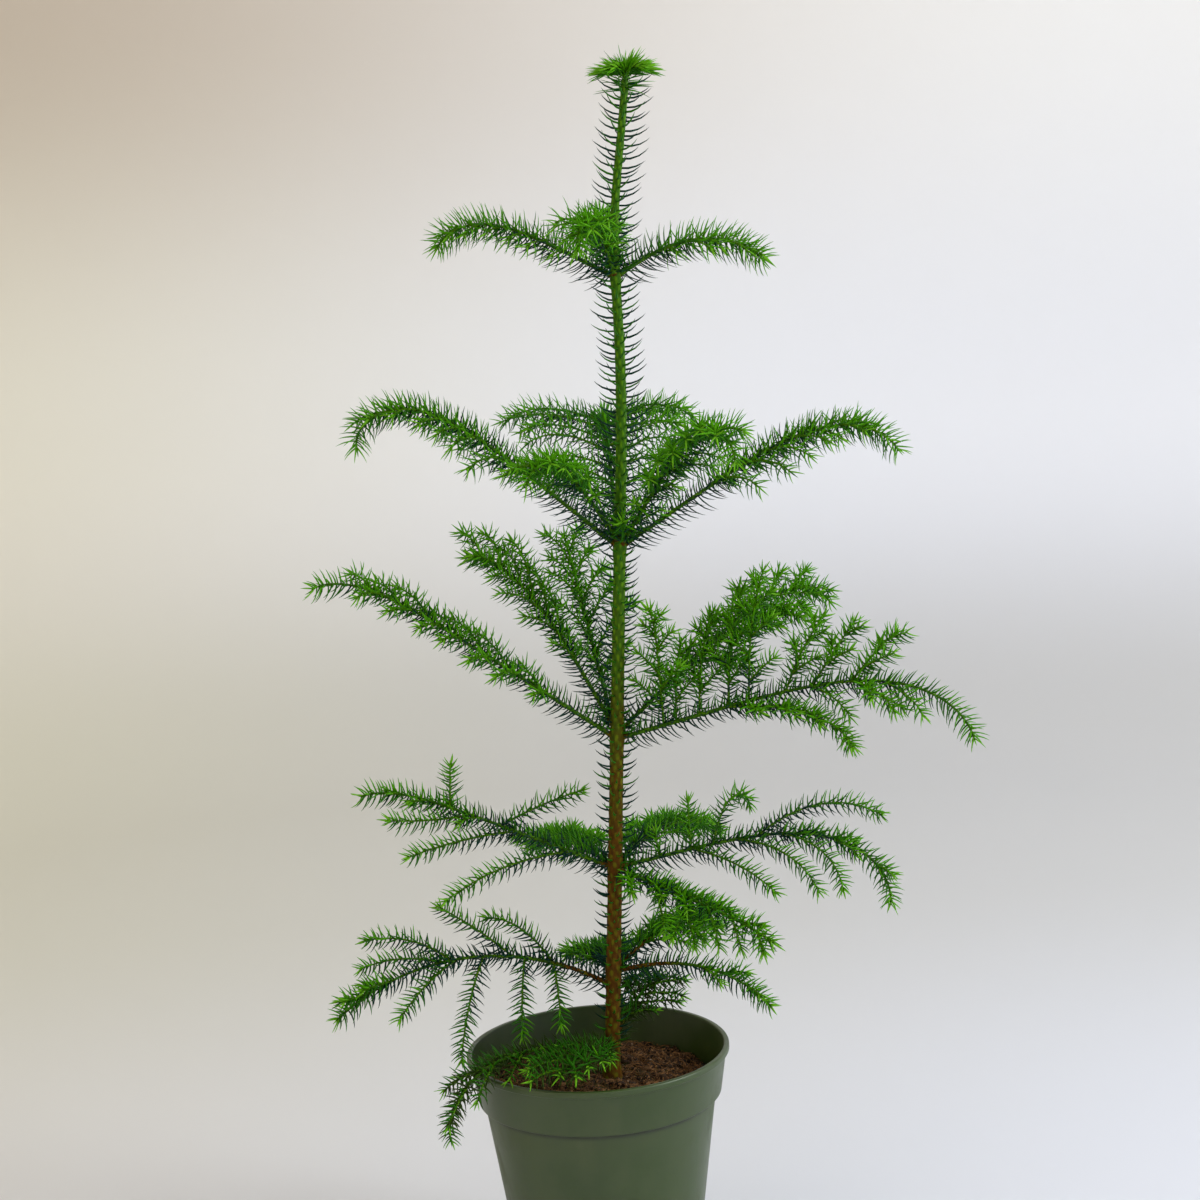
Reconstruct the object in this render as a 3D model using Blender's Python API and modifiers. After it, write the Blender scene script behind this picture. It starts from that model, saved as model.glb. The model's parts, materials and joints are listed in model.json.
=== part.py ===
"""Young Norfolk Island pine in a round nursery pot, as construction solids in metres, +Z up."""
import math
import random
from collections import namedtuple

import bmesh
import bpy
import numpy as np
from mathutils import Matrix, Vector

# Pot: a turned shell with a rolled lip and a rim band that steps in to the body
POT_HEIGHT = 0.150
LIP_RADIUS = 0.0825
LIP_HEIGHT = 0.004
BAND_TOP_RADIUS = 0.0808
BAND_FOOT_RADIUS = 0.0764
BAND_FOOT_HEIGHT = 0.1205
BODY_TOP_RADIUS = 0.0728
BODY_TOP_HEIGHT = 0.1190
BASE_RADIUS = 0.0555
BASE_CHAMFER = 0.0020
POT_WALL = 0.0016
FLOOR_THICKNESS = 0.0020
POT_STEPS = 36
DRAIN_HOLES = 6
DRAIN_RADIUS = 0.0055
DRAIN_CIRCLE = 0.0400

# Soil: fills the pot, hummocky on top and level under the trunk
SOIL_HEIGHT = 0.1300
SOIL_EDGE_DROP = 0.0050
SOIL_BUMP = 0.0016
SOIL_PAD_RADIUS = 0.0170
SOIL_STEPS = 32
GAP = 0.0003

# Trunk: leans one way, with one sway near the top
TRUNK_FOOT_X = 0.0079
TRUNK_LEAN = math.radians(4.0)
TRUNK_SWAY = 0.0060
SWAY_HEIGHT = 0.655
SWAY_SPREAD = 0.065
TRUNK_TOP = 0.7420
TRUNK_FOOT_RADIUS = 0.0047
TRUNK_TIP_RADIUS = 0.0021
TRUNK_TAPER = 1.4
FLARE = 0.0020
FLARE_HEIGHT = 0.007
TRUNK_SIDES = 10
TRUNK_RINGS = 24

# Boughs and shoots
BOUGH_SIDES = 6
BOUGH_RINGS = 6
BOUGH_ROOT_RADIUS = 0.0017
BOUGH_TIP_RADIUS = 0.0014
ROOT_CLEARANCE = 0.0003
ROOT_STEP = 0.0005
PATH_STEPS = 60
SHOOT_SIDES = 3
SHOOT_PITCH = 0.0122
SHOOT_TWIST = math.radians(23)
MAIN_RADIUS = 0.0018
TWIG_RADIUS = 0.0012
STRONG_RADIUS = 0.0014
END_RADIUS = 0.0005
MIN_TWIG = 0.014
KEPT_TWIGS = 2
TWIG_SWEEP = 18.0
NEEDLE_OUT = 0.0086
NEEDLE_FORWARD = 0.0045
END_NEEDLE = 0.0060
CORE_MARGIN = 0.0022
NEEDLE_MARGIN = 0.0012
CLEARANCE = 0.0006
HOLD_BACK = 0.06
BARE_RINGS = 1

# Needle sleeves on the trunk between the tiers, and the rosette on its tip
SLEEVE_SIDES = 6
SLEEVE_PITCH = 0.0115
SLEEVE_WALL = 0.0007
SLEEVE_BELOW_TIER = 0.0085
SLEEVE_ABOVE_TIER = 0.0175
TRUNK_NEEDLE_OUT = 0.0105
TRUNK_NEEDLE_UP = 0.0050
ROSETTE_SHOOTS = 5
ROSETTE_STEM = 0.0080
ROSETTE_REACH = 0.0150
ROSETTE_RISE = 30
ROSETTE_FALL = -15
ROSETTE_PITCH = 0.0050
ROSETTE_NEEDLE_OUT = 0.0060
ROSETTE_TURN = 18

# Height of each tier of boughs, and the share of a bough that is bare limb
TIER_HEIGHT = {"a": 0.6260, "b": 0.4630, "c": 0.3450, "d": 0.2635, "e": 0.1970, "f": 0.1500}
LIMB_SHARE = {"a": 0.0, "b": 0.30, "c": 0.22, "d": 0.18, "e": 0.22, "f": 0.0}

# A fan is one row of side twigs: how many, where along the bough it starts and ends, its longest
# reach, where that falls, the reach left at the end, and the twigs' splay, lift and final droop
Fan = namedtuple("Fan", "count first last reach peak tip splay lift drop")

# A strong twig is one long side shoot: place along the bough, turn, rise, fall, bend, length
Strong = namedtuple("Strong", "place turn rise fall bend length")

# A bough: tier, name, azimuth, first slope, last slope, bend, length, left fan, right fan, seed
Bough = namedtuple("Bough", "tier side azimuth rise fall bend length left right seed strong step",
                   defaults=((), 0.0))

BOUGHS = (
    Bough("a", "left", 176, 30, -65, 4.0, 0.120,
          Fan(6, .30, .88, .020, .5, .5, 55, -10, -50), Fan(6, .30, .88, .020, .5, .5, 55, 10, -40), 1),
    Bough("a", "right", 8, 32, -45, 1.7, 0.100,
          Fan(5, .30, .86, .019, .5, .5, 55, 10, -40), Fan(5, .30, .86, .019, .5, .5, 55, -5, -50), 2),
    Bough("a", "front", 250, 46, -95, 2.75, 0.086,
          Fan(5, .28, .85, .024, .5, .5, 60, 15, -35), Fan(5, .28, .85, .024, .5, .5, 60, 15, -35), 3),
    Bough("a", "back", 96, 42, -60, 3.0, 0.100,
          Fan(5, .28, .85, .022, .5, .5, 60, 10, -35), Fan(5, .28, .85, .022, .5, .5, 60, 10, -35), 4),
    Bough("b", "left", 186, 42, -98, 5.5, 0.200,
          Fan(7, .34, .86, .040, .35, .4, 55, 5, -35), Fan(7, .34, .86, .034, .4, .45, 55, 15, -40), 5),
    Bough("b", "right", 4, 31, -62, 4.6, 0.198,
          Fan(7, .34, .86, .034, .4, .45, 55, 15, -40), Fan(7, .34, .86, .038, .35, .4, 55, 0, -45), 6),
    Bough("b", "front_right", 303, 43, -95, 5.2, 0.154,
          Fan(6, .34, .84, .036, .4, .5, 58, 15, -30), Fan(6, .34, .84, .036, .4, .5, 58, 15, -30), 7),
    Bough("b", "front_left", 236, 44, -60, 4.0, 0.118,
          Fan(5, .36, .84, .030, .4, .5, 58, 20, -30), Fan(5, .36, .84, .030, .4, .5, 58, 20, -30), 8,
          step=0.003),
    Bough("b", "back", 92, 44, -42, 4.0, 0.158,
          Fan(8, .26, .88, .086, .8, .75, 78, 10, -25), Fan(8, .26, .88, .086, .8, .75, 78, 10, -25), 9),
    Bough("c", "left", 188, 37, -22, 8.0, 0.214,
          Fan(7, .24, .82, .032, .4, .5, 58, 10, -20), Fan(7, .24, .82, .042, .4, .4, 60, 35, 10), 10),
    Bough("c", "back_left", 150, 59, -3, 3.8, 0.156,
          Fan(6, .34, .90, .034, .5, .6, 50, 30, 0), Fan(7, .30, .90, .048, .5, .6, 50, 45, 10), 11,
          step=0.004),
    Bough("c", "back", 106, 53, 50, 3.0, 0.152,
          Fan(5, .30, .90, .050, .4, .5, 50, 45, 0), Fan(6, .22, .90, .056, .4, .5, 62, 26, -4), 12),
    Bough("c", "right", 348, 15, -77, 4.3, 0.237,
          Fan(4, .17, .40, .102, .27, .2, 92, 62, 40), Fan(3, .50, .70, .042, .4, .6, 45, -10, -70), 13,
          (Strong(.13, -98, 84, 30, 5, .080), Strong(.30, -15, 4, -60, 2.2, .090),
           Strong(.46, 58, 56, 30, 1.2, .060), Strong(.53, 40, 50, 44, 1, .050),
           Strong(.63, 38, 42, 34, 1, .044))),
    Bough("c", "back_right", 31, 33, -52, 5.2, 0.194,
          Fan(6, .34, .88, .036, .4, .6, 50, 30, 15), Fan(6, .30, .82, .056, .4, .25, 50, 6, -16), 14,
          step=0.003),
    Bough("d", "left", 184, 25, -18, 8.0, 0.166,
          Fan(2, .54, .84, .020, .4, .6, 42, -4, -25), Fan(2, .54, .84, .018, .4, .6, 50, 10, -10), 15,
          (Strong(.18, 24, 4, -28, 1.2, .090), Strong(.40, 14, 2, -14, 1, .070),
           Strong(.58, 12, -4, 10, 1, .052), Strong(.46, -150, 17, 4, 1, .064),
           Strong(.66, -100, 76, 60, 1, .028))),
    Bough("d", "right", 8, 9, -95, 3.4, 0.205,
          Fan(2, .58, .74, .026, .4, .6, 40, 6, -30), Fan(2, .64, .84, .024, .4, .6, 40, -10, -50), 16,
          (Strong(.45, 14, 30, -36, 1.2, .096), Strong(.52, -26, -4, -86, 1.1, .058),
           Strong(.38, -30, -2, -70, 1.3, .066), Strong(.24, -34, -8, -44, 1.2, .062),
           Strong(.24, 82, 72, 60, 1, .032), Strong(.31, 40, 64, -85, 2.2, .058),
           Strong(.14, 92, 62, 50, 1, .018))),
    Bough("d", "front_right", 312, -8, -22, 4.0, 0.134,
          Fan(4, .25, .88, .022, .45, .6, 40, 0, -30), Fan(5, .20, .90, .044, .45, .15, 42, -22, -80), 17),
    Bough("d", "back_left", 118, 12, -30, 2.0, 0.110,
          Fan(5, .25, .90, .040, .4, .5, 55, 5, -30), Fan(5, .25, .90, .040, .4, .5, 55, 5, -30), 18),
    Bough("d", "back_right", 62, 15, -40, 2.0, 0.130,
          Fan(5, .25, .90, .042, .4, .5, 55, 5, -30), Fan(5, .25, .90, .042, .4, .5, 55, 5, -30), 19),
    Bough("e", "left", 186, 33, -41, 1.12, 0.186,
          Fan(2, .76, .90, .028, .4, .6, 40, 5, -20), Fan(2, .74, .90, .026, .4, .6, 40, 10, -20), 20,
          (Strong(.36, -28, 38, 24, 1, .058), Strong(.22, -32, 52, -8, 1.6, .056),
           Strong(.57, -24, 42, -14, .8, .060), Strong(.60, -8, 18, -22, 1, .052),
           Strong(.55, 24, -22, -50, 1, .052), Strong(.46, 42, -56, -80, 1, .066),
           Strong(.32, 62, -66, -90, 1, .050), Strong(.22, 98, -60, -90, 1, .040)),
          step=-0.009),
    Bough("e", "right", 352, 15, -52, 1.3, 0.107,
          Fan(2, .40, .80, .020, .4, .6, 50, 10, -30), Fan(2, .40, .80, .020, .4, .6, 50, 0, -50), 21),
    Bough("e", "back_left", 98, 5, -40, 2.0, 0.090,
          Fan(5, .28, .90, .040, .4, .5, 55, 0, -30), Fan(5, .28, .90, .040, .4, .5, 55, 0, -30), 22),
    Bough("e", "back_right", 40, 29, -14, 1.5, 0.084,
          Fan(5, .28, .90, .036, .4, .5, 50, 10, -30), Fan(5, .28, .90, .036, .4, .5, 50, 0, -35), 23),
    Bough("f", "left", 214, 13, -100, 2.9, 0.146,
          Fan(4, .30, .84, .036, .6, .7, 46, 0, -60), Fan(3, .44, .64, .038, .6, .7, 56, -8, -40), 25),
    Bough("f", "front", 247, 24, -16, 1.5, 0.086,
          Fan(5, .25, .90, .036, .5, .6, 55, 10, -20), Fan(5, .25, .90, .040, .5, .6, 55, 10, -20), 26,
          step=-0.003),
    Bough("f", "back", 62, 30, 0, 1.5, 0.076,
          Fan(5, .25, .90, .034, .5, .6, 55, 10, -20), Fan(5, .25, .90, .036, .5, .6, 55, 0, -30), 27),
)

# Base colour, roughness and metallic value of each material
FINISHES = {
    "pot": ((0.085, 0.112, 0.070), 0.45, 0.0),
    "soil": ((0.085, 0.040, 0.026), 0.95, 0.0),
    "bark": ((0.110, 0.105, 0.035), 0.80, 0.0),
    "needles": ((0.045, 0.150, 0.022), 0.55, 0.0),
}

parts = None
taken = {"node": [], "start": [], "end": [], "radius": []}


def clear_scene():
    for thing in list(bpy.data.objects):
        bpy.data.objects.remove(thing, do_unlink=True)


def new_collection(name):
    collection = bpy.data.collections.new(name)
    bpy.context.scene.collection.children.link(collection)
    return collection


def finish(thing, kind):
    colour, roughness, metallic = FINISHES[kind]
    material = bpy.data.materials.new(thing.name)
    material.use_nodes = True
    shader = material.node_tree.nodes["Principled BSDF"]
    shader.inputs["Base Color"].default_value = (*colour, 1.0)
    shader.inputs["Roughness"].default_value = roughness
    shader.inputs["Metallic"].default_value = metallic
    thing.data.materials.clear()
    thing.data.materials.append(material)
    return thing


def object_from(bm, name, collection):
    mesh = bpy.data.meshes.new(name)
    bm.to_mesh(mesh)
    bm.free()
    thing = bpy.data.objects.new(name, mesh)
    collection.objects.link(thing)
    return thing


def baked(thing):
    """Replace an object's mesh with its evaluated one and drop its modifiers."""
    depsgraph = bpy.context.evaluated_depsgraph_get()
    mesh = bpy.data.meshes.new_from_object(thing.evaluated_get(depsgraph))
    thing.modifiers.clear()
    thing.data = mesh
    return thing


def turned(name, profile, steps, collection):
    """Turn a profile of (radius, height) points round the Z axis."""
    mesh = bpy.data.meshes.new(name)
    mesh.from_pydata([(radius, 0.0, height) for radius, height in profile],
                     [(k, k + 1) for k in range(len(profile) - 1)], [])
    thing = bpy.data.objects.new(name, mesh)
    collection.objects.link(thing)
    screw = thing.modifiers.new("turn", "SCREW")
    screw.steps = steps
    screw.render_steps = steps
    screw.use_merge_vertices = True
    screw.merge_threshold = 0.00005
    return thing


# Rule for where a limb runs
def trunk_point(height):
    """Centre of the trunk at a height."""
    sway = TRUNK_SWAY * math.exp(-((height - SWAY_HEIGHT) / SWAY_SPREAD) ** 2)
    return Vector((TRUNK_FOOT_X + (height - SOIL_HEIGHT) * math.tan(TRUNK_LEAN) - sway, 0.0, height))


def trunk_radius(height):
    up = (height - SOIL_HEIGHT) / (TRUNK_TOP - SOIL_HEIGHT)
    taper = TRUNK_FOOT_RADIUS - (TRUNK_FOOT_RADIUS - TRUNK_TIP_RADIUS) * up ** TRUNK_TAPER
    return taper + FLARE * math.exp(-(height - SOIL_HEIGHT) / FLARE_HEIGHT)


def limb_path(root, azimuth, rise, fall, bend, length, sweep=0.0):
    """Points of a limb whose slope turns from rise to fall, in even steps."""
    points = [Vector(root)]
    for step in range(PATH_STEPS):
        t = (step + 0.5) / PATH_STEPS
        slope = math.radians(rise + (fall - rise) * t ** bend)
        turn = math.radians(azimuth + sweep * t)
        flat = math.cos(slope)
        way = Vector((flat * math.cos(turn), flat * math.sin(turn), math.sin(slope)))
        points.append(points[-1] + way * (length / PATH_STEPS))
    return points


def at(path, t):
    """Point at share t of a path."""
    place = min(max(t, 0.0), 1.0) * (len(path) - 1)
    step = min(int(place), len(path) - 2)
    return path[step].lerp(path[step + 1], place - step)


def stretch(path, first, last, count):
    return [at(path, first + (last - first) * k / (count - 1)) for k in range(count)]


def fan_reach(fan, t):
    """Share of a fan's longest reach that a twig at t has."""
    if t < fan.peak:
        return 0.55 + 0.45 * (t - fan.first) / max(fan.peak - fan.first, 0.01)
    return 1.0 - (1.0 - fan.tip) * (t - fan.peak) / (1.0 - fan.peak)


def twig_paths(bough, main):
    """Side twigs of a bough: two fans by a seeded rule, then its strong shoots."""
    draw = random.Random(bough.seed)
    twigs = []
    for hand, fan in ((1, bough.left), (-1, bough.right)):
        for index in range(fan.count):
            along = (index + (0.5 if hand < 0 else 0.0)) / (fan.count - 0.5)
            t = fan.first + (fan.last - fan.first) * along + draw.uniform(-0.012, 0.012)
            length = fan.reach * fan_reach(fan, t) * draw.uniform(0.82, 1.12)
            slope = bough.rise + (bough.fall - bough.rise) * t ** bough.bend
            lift = fan.lift + 0.5 * slope + draw.uniform(-7, 7)
            drop = fan.drop + draw.uniform(-10, 10)
            azimuth = bough.azimuth + hand * fan.splay * (1.1 - 0.35 * t)
            path = limb_path(at(main, t), azimuth, lift, drop, 1.5, length, -hand * TWIG_SWEEP)
            twigs.append((index, path, length, TWIG_RADIUS))
    for strong in bough.strong:
        path = limb_path(at(main, strong.place), bough.azimuth + strong.turn,
                         strong.rise, strong.fall, strong.bend, strong.length)
        twigs.append((0, path, strong.length, STRONG_RADIUS))
    return twigs


# Space that limbs and needles already fill, so that no two nodes touch
def claim(node, start, end, radius):
    taken["node"].append(node)
    taken["start"].append(tuple(start))
    taken["end"].append(tuple(end))
    taken["radius"].append(radius)


def claim_path(node, points, radii):
    for k in range(len(points) - 1):
        claim(node, points[k], points[k + 1], max(radii[k], radii[k + 1]))


def rivals(node):
    """Everything that nodes other than this one fill, as arrays."""
    keep = [k for k, owner in enumerate(taken["node"]) if owner != node]
    return tuple(np.array([taken[key][k] for k in keep], dtype=float) for key in ("start", "end", "radius"))


def is_free(samples, others, margin):
    """True where no sample point comes within margin of another node."""
    starts, ends, radii = others
    spans = ends - starts
    squares = np.maximum((spans ** 2).sum(axis=1), 1e-12)
    middle = samples.mean(axis=0)
    size = np.linalg.norm(samples - middle, axis=1).max()
    reach = size + margin + radii + 0.5 * np.sqrt(squares)
    near = np.linalg.norm(0.5 * (starts + ends) - middle, axis=1) < reach
    if not near.any():
        return True
    starts, spans, squares, radii = starts[near], spans[near], squares[near], radii[near]
    offsets = samples[:, None, :] - starts[None, :, :]
    shares = np.clip((offsets * spans).sum(axis=2) / squares, 0.0, 1.0)
    gaps = np.linalg.norm(offsets - shares[..., None] * spans, axis=2) - radii
    return bool((gaps > margin).all())


def soil_top(radius):
    return SOIL_HEIGHT - SOIL_EDGE_DROP * min(radius / BODY_TOP_RADIUS, 1.0) ** 2


def outside_pot(samples, margin):
    """True where every sample point is clear of the pot and of the soil in it."""
    for x, y, z in samples:
        radius = math.hypot(x, y)
        above_pot = z > POT_HEIGHT + margin
        beside_pot = radius > LIP_RADIUS + margin
        inside_wall = radius < BAND_FOOT_RADIUS - 2 * POT_WALL - margin
        over_soil = inside_wall and z > soil_top(radius) + SOIL_BUMP + margin
        if not (above_pot or beside_pot or over_soil):
            return False
    return True


# Limbs and shoots: a cone primitive, cut into rings and bent along its path
def frames_along(points):
    """Rotation at each point that carries a section along the path without spinning it."""
    ways = [(points[min(k + 1, len(points) - 1)] - points[max(k - 1, 0)]).normalized()
            for k in range(len(points))]
    turn = ways[0].to_track_quat("Z", "Y")
    frames = [turn]
    for before, after in zip(ways, ways[1:]):
        turn = before.rotation_difference(after) @ turn
        frames.append(turn)
    return frames, ways


def bent_cone(points, radii, sides, twist=0.0, level=False):
    bm = bmesh.new()
    bmesh.ops.create_cone(bm, cap_ends=True, segments=sides, radius1=1.0, radius2=1.0, depth=1.0)
    upright = [edge for edge in bm.edges if abs(edge.verts[0].co.z - edge.verts[1].co.z) > 0.5]
    bmesh.ops.subdivide_edges(bm, edges=upright, cuts=len(points) - 2)
    frames, ways = frames_along(points)
    ring_of = {}
    for vert in bm.verts:
        ring = round((vert.co.z + 0.5) * (len(points) - 1))
        ring_of[vert] = ring
        section = Matrix.Rotation(twist * ring, 3, "Z") @ Vector((vert.co.x, vert.co.y, 0.0)) * radii[ring]
        vert.co = points[ring] + (section if level else frames[ring] @ section)
    return bm, ring_of, ways


def limb(node, points, radii, sides, level=False):
    bm, _, _ = bent_cone(points, radii, sides, level=level)
    claim_path(node, points, radii)
    return finish(object_from(bm, node, parts), "bark")


def raise_needles(bm, ring_of, points, ways, node, out, forward, first_ring=0):
    """Draw each side face of a shoot out into one needle, where that space is free."""
    others = rivals(node)
    for face in [f for f in bm.faces if len({ring_of[v] for v in f.verts}) == 2]:
        ring = min(ring_of[v] for v in face.verts)
        if ring < first_ring:
            continue
        foot = face.calc_center_median()
        axis = points[ring].lerp(points[ring + 1], 0.5)
        way = ways[ring]
        outward = (foot - axis) - (foot - axis).project(way)
        tip = foot + outward.normalized() * out + way * forward
        half = 0.5 * (points[ring + 1] - points[ring]).length
        samples = np.array([tuple(foot.lerp(tip, up) + way * (side * half * (1.0 - up)))
                            for up in (0.2, 0.5, 0.75, 1.0) for side in (-1, 0, 1)])
        if not (is_free(samples, others, CLEARANCE + NEEDLE_MARGIN) and outside_pot(samples, CLEARANCE)):
            continue
        poked = bmesh.ops.poke(bm, faces=[face])
        poked["verts"][0].co = tip
        ring_of[poked["verts"][0]] = ring
        claim(node, foot, tip, NEEDLE_MARGIN)


def point_end(bm, ring_of, points, ways, node):
    """Draw the end face of a shoot out into a needle, where that space is free."""
    last = len(points) - 1
    tip = points[last] + ways[last] * END_NEEDLE
    samples = np.array([tuple(points[last].lerp(tip, up)) for up in (0.3, 0.65, 1.0)])
    if not (is_free(samples, rivals(node), CLEARANCE + NEEDLE_MARGIN) and outside_pot(samples, CLEARANCE)):
        return
    for face in [f for f in bm.faces if {ring_of[v] for v in f.verts} == {last}]:
        poked = bmesh.ops.poke(bm, faces=[face])
        poked["verts"][0].co = tip
        ring_of[poked["verts"][0]] = last
    claim(node, points[last], tip, NEEDLE_MARGIN)


def ring_radii(count, root, end):
    return [root + (end - root) * k / (count - 1) for k in range(count)]


def shoot(node, path, last, length, radius, bare_rings, out, forward, pitch=SHOOT_PITCH):
    """One needled shoot along a path up to share last, as an object in the parts collection."""
    count = max(3, round(length * last / pitch) + 1)
    points = stretch(path, 0.0, last, count)
    radii = ring_radii(count, radius, END_RADIUS)
    bm, ring_of, ways = bent_cone(points, radii, SHOOT_SIDES, SHOOT_TWIST)
    claim_path(node, points, [r + CORE_MARGIN for r in radii])
    raise_needles(bm, ring_of, points, ways, node, out, forward, bare_rings)
    point_end(bm, ring_of, points, ways, node)
    return object_from(bm, node, parts)


def free_share(node, path, radius):
    """Share of a path up to which its core stays clear of other nodes and the pot."""
    others = rivals(node)
    margin = radius + CORE_MARGIN + CLEARANCE
    for step, point in enumerate(path):
        sample = np.array([tuple(point)])
        if not (is_free(sample, others, margin) and outside_pot(sample, margin)):
            return step / PATH_STEPS - HOLD_BACK
    return 1.0


def fuse(node, stem, branches):
    """Join the branches of one spray to its stem with a single union."""
    tools = new_collection(node + "_tools")
    for branch in branches:
        parts.objects.unlink(branch)
        tools.objects.link(branch)
    if branches:
        union = stem.modifiers.new("join", "BOOLEAN")
        union.operation = "UNION"
        union.operand_type = "COLLECTION"
        union.collection = tools
        union.solver = "MANIFOLD"
        baked(stem)
    for branch in branches:
        bpy.data.objects.remove(branch, do_unlink=True)
    bpy.data.collections.remove(tools)
    stem.name = node
    return finish(stem, "needles")


# Pieces
def build_pot():
    slope = (BODY_TOP_RADIUS - BASE_RADIUS) / (BODY_TOP_HEIGHT - BASE_CHAMFER)
    inner_foot = BASE_RADIUS + slope * FLOOR_THICKNESS - POT_WALL
    inner_step = BODY_TOP_HEIGHT - POT_WALL
    profile = [
        (0.0, FLOOR_THICKNESS),
        (inner_foot, FLOOR_THICKNESS),
        (BODY_TOP_RADIUS - POT_WALL, inner_step),
        (BAND_FOOT_RADIUS - POT_WALL, BAND_FOOT_HEIGHT + POT_WALL),
        (BAND_TOP_RADIUS - POT_WALL, POT_HEIGHT - 0.0008),
        (BAND_TOP_RADIUS - 0.6 * POT_WALL, POT_HEIGHT),
        (LIP_RADIUS - 0.0006, POT_HEIGHT),
        (LIP_RADIUS, POT_HEIGHT - 0.0010),
        (LIP_RADIUS, POT_HEIGHT - LIP_HEIGHT + 0.0008),
        (BAND_TOP_RADIUS, POT_HEIGHT - LIP_HEIGHT),
        (BAND_FOOT_RADIUS, BAND_FOOT_HEIGHT),
        (BODY_TOP_RADIUS, BODY_TOP_HEIGHT),
        (BASE_RADIUS, BASE_CHAMFER),
        (BASE_RADIUS - BASE_CHAMFER, 0.0),
        (0.0, 0.0),
    ]
    pot = turned("pot", profile, POT_STEPS, parts)
    cutters = new_collection("pot_cutters")
    for index in range(DRAIN_HOLES):
        turn = 2 * math.pi * (index + 0.5) / DRAIN_HOLES
        bm = bmesh.new()
        place = Matrix.Translation((DRAIN_CIRCLE * math.cos(turn), DRAIN_CIRCLE * math.sin(turn), 0.001))
        bmesh.ops.create_cone(bm, cap_ends=True, segments=12, radius1=DRAIN_RADIUS, radius2=DRAIN_RADIUS,
                              depth=4 * FLOOR_THICKNESS, matrix=place)
        cutter = object_from(bm, f"drain_{index}", cutters)
        cutter.hide_render = True
        cutter.display_type = "WIRE"
    drill = pot.modifiers.new("drain", "BOOLEAN")
    drill.operation = "DIFFERENCE"
    drill.operand_type = "COLLECTION"
    drill.collection = cutters
    pot.data.shade_smooth()
    return finish(pot, "pot")


def build_soil():
    slope = (BODY_TOP_RADIUS - BASE_RADIUS) / (BODY_TOP_HEIGHT - BASE_CHAMFER)
    floor = FLOOR_THICKNESS + GAP
    wall = POT_WALL + 0.0005
    foot = BASE_RADIUS + slope * floor - wall
    shoulder = BODY_TOP_HEIGHT - POT_WALL - 0.0005
    edge = soil_top(BODY_TOP_RADIUS)
    profile = [(0.0, SOIL_HEIGHT), (SOIL_PAD_RADIUS, SOIL_HEIGHT)]
    for ring in range(1, 5):
        radius = SOIL_PAD_RADIUS + (BODY_TOP_RADIUS - wall - SOIL_PAD_RADIUS) * ring / 4
        profile.append((radius, soil_top(radius)))
    profile += [(BODY_TOP_RADIUS - wall, shoulder), (foot, floor), (0.0, floor)]
    soil = baked(turned("soil", profile, SOIL_STEPS, parts))
    for vert in soil.data.vertices:
        radius = math.hypot(vert.co.x, vert.co.y)
        if vert.co.z < edge - 0.001 or radius < SOIL_PAD_RADIUS + 0.001:
            continue
        turn = math.atan2(vert.co.y, vert.co.x)
        vert.co.z += 0.6 * SOIL_BUMP * (math.sin(3 * turn + 1.0) + math.cos(7 * turn + 170 * radius))
    return finish(soil, "soil")


def build_trunk():
    foot = SOIL_HEIGHT + GAP
    heights = [foot + (TRUNK_TOP - foot) * (k / (TRUNK_RINGS - 1)) ** 1.25 for k in range(TRUNK_RINGS)]
    points = [trunk_point(height) for height in heights]
    radii = [trunk_radius(height) for height in heights]
    return limb("trunk", points, radii, TRUNK_SIDES, level=True)


def bough_main(bough):
    """A bough's whole path, and the share of it where it leaves the trunk's surface."""
    root = trunk_point(TIER_HEIGHT[bough.tier] + bough.step)
    path = limb_path(root, bough.azimuth, bough.rise, bough.fall, bough.bend, bough.length)
    lean_in = MAIN_RADIUS * math.sin(math.radians(abs(bough.rise)))
    share = 0.0
    while True:
        point = at(path, share)
        reach = (point - trunk_point(point.z)).length
        if reach >= trunk_radius(point.z) + ROOT_CLEARANCE + lean_in:
            return path, share
        share += ROOT_STEP


def build_bough(bough):
    share = LIMB_SHARE[bough.tier]
    path, first = bough_main(bough)
    points = stretch(path, first, share - GAP / bough.length, BOUGH_RINGS)
    radii = ring_radii(BOUGH_RINGS, BOUGH_ROOT_RADIUS, BOUGH_TIP_RADIUS)
    limb(f"bough_{bough.tier}_{bough.side}", points, radii, BOUGH_SIDES)


def build_spray(bough, stems):
    """A bough's spray: its stem with needles, and every second twig of its fans."""
    node = f"spray_{bough.tier}_{bough.side}"
    path, _ = bough_main(bough)
    stem, ring_of, points, ways = stems[node]
    raise_needles(stem, ring_of, points, ways, node, NEEDLE_OUT, NEEDLE_FORWARD)
    point_end(stem, ring_of, points, ways, node)
    stem_object = object_from(stem, node, parts)
    branches = []
    for index, twig, length, radius in twig_paths(bough, path):
        if index % KEPT_TWIGS:
            continue
        last = free_share(node, twig, radius)
        if length * last < MIN_TWIG:
            continue
        branches.append(shoot(node, twig, last, length, radius, BARE_RINGS, NEEDLE_OUT, NEEDLE_FORWARD))
    return fuse(node, stem_object, branches)


def spray_stem(bough):
    """The core of a spray's stem, claimed before any side twig is placed."""
    node = f"spray_{bough.tier}_{bough.side}"
    path, first = bough_main(bough)
    start = max(first, LIMB_SHARE[bough.tier])
    count = round(bough.length * (1 - start) / SHOOT_PITCH) + 1
    points = stretch(path, start, 1.0, count)
    radii = ring_radii(count, MAIN_RADIUS, END_RADIUS)
    bm, ring_of, ways = bent_cone(points, radii, SHOOT_SIDES, SHOOT_TWIST)
    claim_path(node, points, [r + CORE_MARGIN * (k > 0) for k, r in enumerate(radii)])
    return node, (bm, ring_of, points, ways)


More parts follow.
